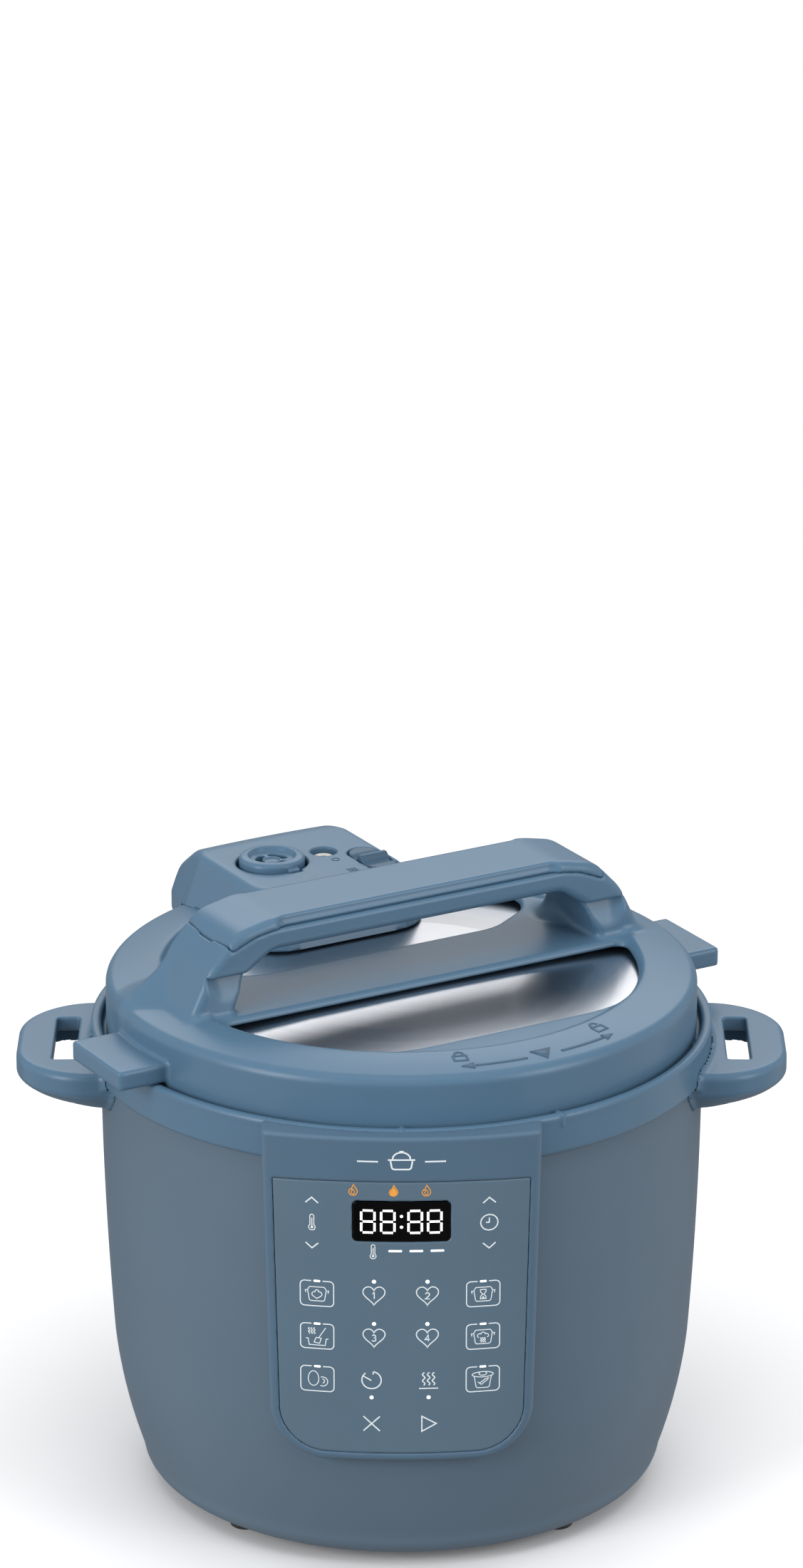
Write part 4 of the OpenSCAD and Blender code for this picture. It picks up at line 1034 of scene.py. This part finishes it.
def lock_ring_field(x, y, z):
    """Cast ring with lugs turned outwards, flush with its top. Two short ones take the front lug's place."""
    r = np.hypot(x, y)
    neck = both(both(r - NECK_R, RING_R - r), slab(z, RING_TOP - 10.7, RING_TOP), 0.9)
    plan = r - NECK_R
    lugs = [(36 + 60 * k, 13.0) for k in range(6) if k != 4] + [(267.5, 5.25), (288.0, 5.25)]
    for middle, half in lugs:
        along, across = radial(x, y, middle)
        reach = across * (1 + 0.12 * (across / 20) ** 2)
        width = math.radians(half) * 107
        sides = np.abs(reach) - width + 0.55 * (r - 106)
        plan = either(plan, both(both(r - LUG_R, sides, 1.0), 103 - along), 1.2)
    flat = both(both(plan, RING_R - r), slab(z, RING_TOP - 5.5, RING_TOP), 0.9)
    return either(neck, flat, 0.6)


def make_lock_ring():
    out = 112
    skin_piece("lock_ring_skin", lock_ring_field, (-out, -out, RING_TOP - 11), (out, out, RING_TOP), 0.85,
               cast_coat, "ring_cast", "lock_ring")


def chamber_wall():
    """Dark chamber wall, black near its mouth and deep red lower down."""
    material, tree, shader, make, place = surface("dark_chamber")
    parts = make("ShaderNodeSeparateXYZ", Vector=place)
    level = make("ShaderNodeMapRange", Value=parts.outputs["Z"], From_Min=0.08, From_Max=0.185)
    stain = make("ShaderNodeTexNoise", Vector=place, Scale=30.0, Detail=4.0)
    mixed = make("ShaderNodeMath", i0=level.outputs[0], i1=stain.outputs["Fac"],
                 i2=stain.outputs["Fac"])
    mixed.operation = "MULTIPLY_ADD"
    shade = make("ShaderNodeMapRange", Value=mixed.outputs[0], From_Min=0.4, From_Max=1.3)
    tint_between(tree, make, shader, shade.outputs[0], srgb(74, 30, 38), srgb(16, 13, 15))
    tune(shader, Roughness=0.45, Metallic=0.3)
    grain = make("ShaderNodeTexNoise", Vector=place, Scale=1400.0)
    bump(tree, make, shader, grain.outputs["Fac"], 0.4, 0.02)
    return material


cavity = chamber_wall()


def make_chamber():
    """Pressed steel chamber: its floor has a hole, and its flange lies in the collar."""
    flange_z, low_z = high("heat_chamber", 2), low("heat_chamber", 2)
    step = LUG_R - 1.1
    hole, wall, seat = 19, 100.2, RING_TOP - 10.9
    sheet = 1.2
    outer = [(hole, low_z), (wall, low_z, 6), (wall, seat - sheet, 1), (step, seat - sheet, 1),
             (step, flange_z - sheet, 0.5), (FLANGE_R, flange_z - sheet)]
    inner = [(FLANGE_R, flange_z, 0.4), (step - sheet, flange_z, 0.6), (step - sheet, seat),
             (wall - sheet, seat, 0.6), (wall - sheet, low_z + sheet, 5), (hole, low_z + sheet)]
    chamber = add_piece("heat_chamber_skin", *lathe(rounded(outer + inner, 5)), "base", cavity,
                        "cavity_steel", ["heat_chamber"], materials=[cavity, satin_steel])
    for face in chamber.data.polygons:
        if face.center.xy.length > (wall + 0.4) * MM:
            face.material_index = 1


# ------------------------ inner pot

POT_R, POT_WALL = 96.0, 1.0
POT_DEPTH = 119


def pot_steel(name, dark, light, rough):
    """Polished steel with a faint drawn grain round it and slow waves in its shine."""
    material, tree, shader, make, place = surface(name)
    tune(shader, Metallic=1.0)
    parts = make("ShaderNodeSeparateXYZ", Vector=place)
    rings = make("ShaderNodeCombineXYZ", Z=parts.outputs["Z"])
    lines = make("ShaderNodeTexNoise", Vector=rings.outputs[0], Scale=3200.0, Detail=2.0)
    slow = make("ShaderNodeTexNoise", Vector=place, Scale=9.0, Detail=1.0)
    tint_between(tree, make, shader, slow.outputs["Fac"], dark, light)
    gloss = make("ShaderNodeMapRange", Value=lines.outputs["Fac"], To_Min=rough * 0.7, To_Max=rough * 1.4)
    tree.links.new(gloss.outputs[0], shader.inputs["Roughness"])
    bump(tree, make, shader, slow.outputs["Fac"], 0.25, 0.4)
    return material


def make_pot():
    """Drawn pot with a rolled rim, and the disc bonded under it."""
    low_z, base_r, top = high("pot_base", 2), high("pot_base", 0), POT_TOP
    inside_r, floor_z = POT_R - POT_WALL, low_z + POT_WALL
    outline = [(0, low_z), (POT_R, low_z, 12.5), (POT_R, top - 7.0, 5), (POT_R + 1.2, top - 2.4, 2.2),
               (RIM_R, top - 1.5, 1.1), (RIM_R, top, 0.75), (POT_R + 1.0, top - 0.2, 2.2),
               (inside_r, top - 4.5, 3), (inside_r, floor_z, 11.5), (0, floor_z)]
    shell = add_piece("pot_shell", *lathe(rounded(outline, 9), 288), "pot", pot_finish, "pot_steel",
                      ["inner_pot"], sharp=50, materials=[pot_finish, pot_inside_shaded])
    # faces inside the wall and floor take the darker copy of the steel, painted shade
    for face in shell.data.polygons:
        r, z = face.center.xy.length / MM, face.center.z / MM
        inward = face.normal.xy.dot(face.center.xy) < 1e-6
        if low_z + POT_WALL / 2 < z < top - 1.5 and r < POT_R - POT_WALL / 2 and inward:
            face.material_index = 1
    disc_top = low_z + 0.02
    disc = rounded([(0, POT_LOW), (base_r, POT_LOW, 1.6), (base_r - 0.6, disc_top, 0.5), (0, disc_top)], 6)
    add_piece("pot_base_disc", *lathe(disc), "pot", turned_steel, "brushed_steel", ["pot_base"])


pot_finish = pot_steel("pot_steel", (0.80, 0.81, 0.82), (0.90, 0.90, 0.91), 0.10)
# painted shade: the pot's inside is a darker, yellower copy of the outside steel; only its rougher finish is
# the steel's own
pot_inside_shaded = pot_steel("pot_inside_shaded", (0.64, 0.635, 0.58), (0.76, 0.755, 0.70), 0.20)


def on_pot_wall(u, v, h):
    """Place on the inside of the far wall: u to the right as seen from the front, v up."""
    r = POT_R - POT_WALL - h
    t = math.pi / 2 - u / r
    return r * math.cos(t), r * math.sin(t), v


def fraction(u, v, top, under):
    shapes = {"1": [[(-0.8, 1.6), (0.3, 2.6), (0.3, -2.6)]],
              "2": [arc(0, 1.1, 1.5, 165, -35, 12) + [(-1.6, -2.6), (1.7, -2.6)]],
              "3": [arc(-0.1, 1.2, 1.35, 150, -75, 12) + arc(-0.1, -1.1, 1.5, 75, -150, 12)]}
    lines = [[(u - 4.2 + a, v + b) for a, b in line] for line in shapes[top]]
    lines += [[(u - 1.6, v - 2.9), (u + 1.0, v + 2.9)]]
    return lines + [[(u + 3.9 + a, v + b) for a, b in line] for line in shapes[under]]


def make_fill_marks():
    lines = []
    for level, top, under in ((2 / 3, "2", "3"), (1 / 2, "1", "2")):
        v = POT_LOW + 4.6 + POT_DEPTH * level
        lines += [[(-6.5, v), (1.5, v)]] + fraction(11.5, v, top, under)
    parts = [ribbon(line, 0.75, on_pot_wall, height=0.25) for line in lines]
    add_piece("pot_fill_marks", *join(*parts), "pot", pot_finish, "pot_steel", sharp=40)


# ------------------------ lid, drawn locked and turned to its open mark

def mirrored(right, steps=6):
    """Rounded outline from its right half, listed upwards or along; the left half is its mirror image."""
    return rounded([(-u, *rest) for u, *rest in right[::-1]] + list(right), steps)


WELL_R = 114.5
WINDOW_R = 93.8
FIN_TIP, FIN_HALF = 137.8, 20.2
BAR_FRONT, BAR_BACK = -15.2, 21.2
BLOCK_HALF, BLOCK_FRONT, BLOCK_BACK, BLOCK_LOW = 42.4, 41.9, 133.7, 202
ARCH_LOW = 212
BLOCK_OUTLINE = mirrored([(BLOCK_HALF, BLOCK_FRONT, 20), (BLOCK_HALF, 106, 14), (36.5, 124, 10),
                          (33.5, BLOCK_BACK, 5)])
BLOCK_SIDE = rounded([(20, BLOCK_LOW), (BLOCK_BACK, BLOCK_LOW, 2.5), (BLOCK_BACK, 222, 10),
                      (114, BLOCK_TOP, 26), (20, BLOCK_TOP)], 8)
ARCH = mirrored([(66, GRIP_TOP, 40), (82, 248.5, 16), (94, 236, 22), (106, ARCH_LOW), (85, ARCH_LOW),
                 (78, 231, 14), (66, 239, 10)], 8)
UPPER_WINDOW = mirrored([(54, 20.4, 22), (75, 33.5, 18), (86, 54, 8), (60, 110)], 8)
STEAM_X, STEAM_Y = -13.2, 82.7
FLOAT_X, FLOAT_Y = 11.0, 83.0
ROCKER_X, ROCKER_Y = 24.7, 66.3


def cover_top(r):
    """Height of the cover's upper face: a shallow dished middle inside a sloping rim."""
    rim = COVER_Z - 2.6 * np.clip((r - 96) / 18.6, 0, 1.3) ** 1.5
    return rim - 1.4 * (1 - smooth_step(r, 94.4, 97.4))


def lid_windows(x, y, z):
    """The windows behind and in front of the handle, widening upwards."""
    r = np.hypot(x, y)
    flare = 0.45 * np.maximum(z - PAN_TOP, -2)
    behind = both(outline_field(x, y, UPPER_WINDOW), r - WINDOW_R, 5.0)
    behind = both(behind, -(outline_field(x, y, BLOCK_OUTLINE) + 2.5), 2.0)
    front = both(both(np.abs(y + 49.65) - 30.05, r - WINDOW_R, 5.0), np.abs(x) - 92)
    return np.minimum(behind, front) - flare


def arch_field(x, y, z):
    """Handle that spans the lid."""
    return both(outline_field(x, z, ARCH), slab(y, BAR_FRONT, BAR_BACK), 3.2)


def seam_field(x, y, z):
    """Space of the separate top plate of the handle."""
    ends = np.abs(x) - 86.3 + 1.3 * ((y - 3) / 18) ** 2
    under = np.interp(np.abs(x), [0, 66, 74, 81, 88], [247.6, 247.6, 246.2, 243.4, 240.0])
    return both(ends, (under - z) * 0.95, 1.5)


def cover_field(x, y, z):
    """Plastic lid: a dished disc with two fins, two windows and the arch of the handle."""
    r = np.hypot(x, y)
    disc = both(both(r - LID_R, (z - cover_top(r)) * 0.98, 3.2), LID_LOW - z, 0.7)
    hollow = both(r - WELL_R, z - PAN_TOP - 0.7, 2.5)
    disc = without(disc, hollow, 0.3)
    fin = box_outline(np.abs(x) - COLLAR_R, y, FIN_TIP - COLLAR_R, FIN_HALF, 1.6)
    fin = both(fin, slab(z, COLLAR_TOP + 0.6, COLLAR_TOP + 8.6), 1.3)
    fin = both(fin, WELL_R + 0.7 - r)
    disc = either(disc, fin, 1.6)
    back = smooth_step(y, 2, BAR_BACK) * smooth_step(np.abs(x), 58, 84)
    whole = either(disc, arch_field(x, y, z), 3.0 + 13.0 * back)
    windows = both(lid_windows(x, y, z), z - 232)
    whole = without(whole, windows, 1.1)
    whole = both(whole, -hollow)
    for cx, cy, hole in ((STEAM_X, STEAM_Y, 6.3), (FLOAT_X, FLOAT_Y, 4.7)):
        whole = without(whole, np.hypot(x - cx, y - cy) - hole)
    return without(whole, seam_field(x, y, z) - 0.12, 0.35)


def grip_field(x, y, z):
    """Top plate of the handle, with a long scoop at each side for the fingers."""
    plate = both(arch_field(x, y, z), seam_field(x, y, z), 0.4)
    plate = both(plate, 236 - z)
    for y0 in (BAR_BACK + 2.4, BAR_FRONT - 2.8):
        scoop = np.hypot(np.hypot(y - y0, z - GRIP_TOP + 0.8), np.maximum(np.abs(x) - 60, 0)) - 5.6
        plate = without(plate, scoop, 0.8)
    return plate


def block_field(x, y, z):
    """Valve block: it stands on the pan and the cover, with room for the cap, float, rocker and lever."""
    r = np.hypot(x, y)
    walls = (outline_field(x, y, BLOCK_OUTLINE) + 0.34 * np.maximum(z - PAN_TOP, 0)) * 0.947
    body = both(walls, outline_field(y, z, BLOCK_SIDE) + 0.5 * (x / 34.0) ** 2, 3.0)
    step = smooth_step(r, WINDOW_R - 1.2, WINDOW_R)
    rest = np.where(r < LID_R + 0.5, PAN_TOP + 0.4 + (cover_top(r) - PAN_TOP - 0.7) * step, 300)
    body = np.maximum(body, np.minimum(rest - z, np.maximum(LID_R + 0.3 - r, BLOCK_LOW - z)))
    cap_floor, rocker_floor = 226 - z, 229 - z
    tab = box_outline(x - STEAM_X - 2.6, y - STEAM_Y + 14.0, 3.2, 2.2, 0.8)
    rocker = box_outline(x - ROCKER_X, y - ROCKER_Y, 6.95, 14.2, 6.9)
    body = without(body, both(np.hypot(x - STEAM_X, y - STEAM_Y) - 14.7, cap_floor), 0.9)
    body = without(body, both(tab, cap_floor), 0.4)
    body = without(body, both(np.hypot(x - FLOAT_X, y - FLOAT_Y) - 5.5, rocker_floor), 0.6)
    body = without(body, both(rocker, rocker_floor), 0.5)
    lever_x, lever_half = (STEAM_X + ROCKER_X) / 2, (ROCKER_X - STEAM_X) / 2 + 5
    lever = both(box_outline(x - lever_x, y - ROCKER_Y - 10.1, lever_half, 4.0, 1.0),
                 slab(z, BLOCK_TOP - 15, BLOCK_TOP - 3.5))
    return without(body, lever, 0.3)


def arc_slots(x, y, r0, half_width, half_angle, turns):
    r, best = np.hypot(x, y), 1e3
    for turn in turns:
        a = np.abs((np.degrees(np.arctan2(y, x)) - turn + 180) % 360 - 180)
        beyond = np.radians(np.maximum(a - half_angle, 0)) * np.minimum(r, r0)
        best = np.minimum(best, np.hypot(r - r0, beyond) - half_width)
    return best


def cap_field(x, y, z):
    """Steam cap: a round button with three curved slots and a small tab."""
    x, y = x - STEAM_X, y - STEAM_Y
    r = np.hypot(x, y)
    roof = BLOCK_TOP + 0.9 + 2.2 * smooth_step(r, 8.3, 10.2) - 0.5 * smooth_step(r, 10.2, 13.5)
    body = both(both(r - 13.45, (z - roof) * 0.85, 1.3), BLOCK_TOP - 9 - z, 0.4)
    body = without(body, both(arc_slots(x, y, 5.3, 1.45, 33, (30, 150, 270)), BLOCK_TOP - 8 - z), 0.3)
    tab = both(box_outline(x - 2.6, y + 13.4, 2.4, 1.5, 0.6), slab(z, BLOCK_TOP - 6, BLOCK_TOP + 0.5), 0.4)
    body = either(body, tab, 0.3)
    pocket = both(r - 3.0, BLOCK_TOP + 0.2 - z)
    return without(body, pocket, 0.4)


def rocker_field(x, y, z):
    """Release rocker: a ridge across its middle and a patch of dots at each end."""
    x, y = x - ROCKER_X, y - ROCKER_Y
    away = np.abs(y)
    top = BLOCK_TOP + 0.1 + 2.0 * np.exp(-(away / 2.0) ** 4) - 1.3 * np.exp(-((away - 4.6) / 2.0) ** 2)
    dots = smooth_step(away, 6.4, 7.2) * smooth_step(12.4 - away, 0, 1.0)
    dots = dots * smooth_step(5.3 - np.abs(x), 0, 0.8)
    top = top + 0.20 * dots * np.maximum(np.cos(x * 4.3) * np.cos(away * 4.3), 0)
    body = both(box_outline(x, y, 6.3, 13.3, 6.3), (z - top) * 0.8, 0.7)
    return both(body, BLOCK_TOP - 7 - z)


def on_cover(u, v, h):
    return u, v, float(cover_top(math.hypot(u, v))) + h


def on_block(u, v, h):
    return u, v, BLOCK_TOP - 0.5 * (u / 34.0) ** 2 + h


def lid_marks():
    """Raised triangle and arrows at the front, with closed and open locks, and two signs by the valve."""
    lines = []
    arrow_r, lock_r = 110.4, 103.6
    for side in (-1, 1):
        line = arc(0, 0, arrow_r, -90 + side * 4.0, -90 + side * 15.0, 14)
        tip = -90 + side * 18.0
        c, s = math.cos(math.radians(tip)), math.sin(math.radians(tip))
        u, v = arrow_r * c, arrow_r * s
        lines.append(ribbon(line, 1.0, on_cover, height=0.25))
        along = (-s * side, c * side)
        head = [(u, v), (u - 5.2 * along[0] + 2.0 * c, v - 5.2 * along[1] + 2.0 * s),
                (u - 5.2 * along[0] - 2.0 * c, v - 5.2 * along[1] - 2.0 * s)]
        lines.append(patch(head if side > 0 else head[::-1], on_cover, height=0.25))
        tilt = math.radians(side * 17.5)
        lock = [[(-2.6, -2.6), (2.6, -2.6), (2.6, 1.0), (-2.6, 1.0)],
                [(-1.7, 1.0)] + arc(0, 2.2, 1.7, 180, 0, 10) + ([(1.7, 1.0)] if side < 0 else [])]
        for k, line in enumerate(lock):
            placed = [(a * math.cos(tilt) + (lock_r - b) * math.sin(tilt),
                       a * math.sin(tilt) - (lock_r - b) * math.cos(tilt)) for a, b in line]
            lines.append(ribbon(placed, 0.8, on_cover, height=0.22, closed=k == 0))
    lines.append(patch([(0, -113.2), (4.6, -106.6), (-4.6, -106.6)], on_cover, height=0.3))
    points, faces = join(*lines)
    add_piece("lid_marks", turned(points, TURN), faces, "lid", blue_mark, "blue_plastic", sharp=0)
    signs = [ribbon(arc(10.4, 71.8, 1.5, 0, 345, 20), 0.55, on_block, height=0.15, closed=True)]
    signs += [ribbon([(10.4 + a + du, 57.6 + b) for a, b in wave(0, 0, 4.0, 0.4)], 0.5, on_block, height=0.15)
              for du in (-1.5, 0, 1.5)]
    points, faces = join(*signs)
    add_piece("valve_marks", turned(points, TURN), faces, "lid", blue_mark, "blue_plastic", sharp=0)


def around(cx, cy, half_x, half_y, z0, z1):
    return (cx - half_x, cy - half_y, z0), (cx + half_x, cy + half_y, z1)


def make_lid():
    top = BLOCK_TOP
    for name, node, field, box, step, material, slot, body in (
            ("lid_cover_skin", "lid_cover", cover_field,
             around(0, 0, FIN_TIP, LID_R, LID_LOW, GRIP_TOP), 1.0, blue_satin, "blue_plastic", "lid"),
            ("handle_grip_skin", "handle_grip", grip_field,
             ((-87, BAR_FRONT, 236), (87, BAR_BACK, GRIP_TOP)), 0.8, blue_satin, "blue_plastic", "lid"),
            ("valve_block_skin", "valve_block", block_field,
             ((-43, 41, BLOCK_LOW - 1), (43, 134, top + 1)), 0.75, blue_satin, "blue_plastic", "lid"),
            ("steam_cap_skin", "steam_cap", cap_field,
             ((STEAM_X - 14, STEAM_Y - 15, top - 9), (STEAM_X + 14, STEAM_Y + 14, top + 3)), 0.42,
             blue_satin, "blue_dark_plastic", "steam_valve"),
            ("release_rocker_skin", "release_rocker", rocker_field,
             around(ROCKER_X, ROCKER_Y, 7, 14, top - 7, top + 2.5), 0.36,
             blue_dark, "blue_dark_plastic", "rocker")):
        skin_piece(name, field, *box, step, material, slot, node, body, turn=TURN)
    make_float()
    lid_marks()


def make_float():
    """Float valve: a grey button whose hole is painted dark with the rubber finish, as painted shade."""
    t = BLOCK_TOP - 2.6
    low_z = low("float_valve", 2)
    outline = rounded([(0, low_z), (2.0, low_z, 0.3), (2.0, t - 2.2, 0.3), (4.4, t - 1.6, 0.4),
                       (4.4, t + 0.3, 0.7), (1.7, t + 0.3, 0.5), (1.4, t - 2.4, 0.3), (0, t - 2.4)], 5)
    points, faces = lathe(outline, 64, (FLOAT_X, FLOAT_Y))
    valve = add_piece("float_valve_skin", turned(points, TURN), faces, "float", float_grey, "brushed_steel",
                      ["float_valve"], sharp=40, materials=[float_grey, rubber])
    # painted shade: the walls and floor of the hole take the dark rubber finish
    for face in valve.data.polygons:
        spot = turned([face.center / MM], -TURN)[0] - (FLOAT_X, FLOAT_Y, 0)
        if math.hypot(spot[0], spot[1]) < 1.65 and spot[2] > t - 3:
            face.material_index = 1


# ------------------------ feet, bottom and mains inlet

FOOT_RING, FOOT_R, FOOT_H = 88, 7.4, 5.0


def make_feet():
    outline = rounded([(0, 0), (FOOT_R - 1.1, 0, 0.8), (FOOT_R, FOOT_H, 0.3), (0, FOOT_H)], 5)
    places = [math.radians(45 + 90 * k) for k in range(4)]
    parts = [lathe(outline, 64, (FOOT_RING * math.cos(t), FOOT_RING * math.sin(t))) for t in places]
    add_piece("feet_skin", *join(*parts), "base", rubber, "foot_rubber", ["feet"])


INLET_FRONT = high("power_inlet", 1)
INLET_HALF_W, INLET_HALF_H, INLET_DEEP, SOCKET_DEEP = 14.0, 11.0, 24, 16


def inlet_field(x, y, z):
    """Three-pin inlet: a socket with two cut corners in a plain block."""
    v = z - INLET_Z
    body = both(box_outline(x, v, INLET_HALF_W, INLET_HALF_H, 2.0), y - INLET_FRONT, 0.8)
    body = both(body, INLET_FRONT - INLET_DEEP - y, 0.5)
    corner = both(box_outline(x, v, 11.0, 7.5, 1.2), np.abs(x) + (v - 7.5) - 9.0)
    body = without(body, both(corner, INLET_FRONT - SOCKET_DEEP - y), 0.5)
    for pin in (-7, 0, 7):
        lift = 0.6 if pin == 0 else 2.6
        body = without(body, box_outline(x - pin, v + lift, 1.05, 2.05, 0.2))
    return body


def make_inlet():
    lo = (-INLET_HALF_W, INLET_FRONT - INLET_DEEP, INLET_Z - INLET_HALF_H)
    skin_piece("power_inlet_skin", inlet_field, lo, (INLET_HALF_W, INLET_FRONT, INLET_Z + INLET_HALF_H), 0.5,
               black_plastic, "black_plastic", "power_inlet", sharp=40)


# ------------------------ silicone, and finishes of the carried-over parts

silicone = moulded("silicone", srgb(214, 216, 214), 0.42, grain_mm=0.8, grain_depth=0.02, spread=0.03,
                   Subsurface_Weight=0.25, Subsurface_Radius=(0.004, 0.004, 0.003), Subsurface_Scale=1.0)
FINISHES = (
    (zinc, "handle_screws plate_spacers plate_screws base_screws grip_screws lid_studs chamber_legs"),
    (zinc, "sensor_spring rocker_pin inlet_pins"),
    (turned_alloy, "heating_plate sensor_cap"),
    (turned_steel, "lid_pan"),
    (satin_steel, "heating_element sensor_housing steam_pipe anti_block_shield ring_rack float_guide"),
    (black_plastic, "display_module lid_sensor board_parts base_plate vent_lever"),
    (green_board, "control_board power_board"),
    (silicone, "sealing_ring float_seal"),
    (ceramic, "thermal_fuse"),
    (brass, "pipe_nut"),
)


def finish_parts():
    """Gives the parts that keep their CAD shape a finish."""
    for material, names in FINISHES:
        for obj in (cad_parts[name] for name in names.split()):
            if not obj.material_slots:
                obj.data.materials.append(material)
            for slot in obj.material_slots:
                slot.material = material


make_shell()
make_collar()
make_handles()
make_display()
make_marks()
make_badge()
make_lock_ring()
make_chamber()
make_pot()
make_fill_marks()
make_lid()
make_feet()
make_inlet()
finish_parts()
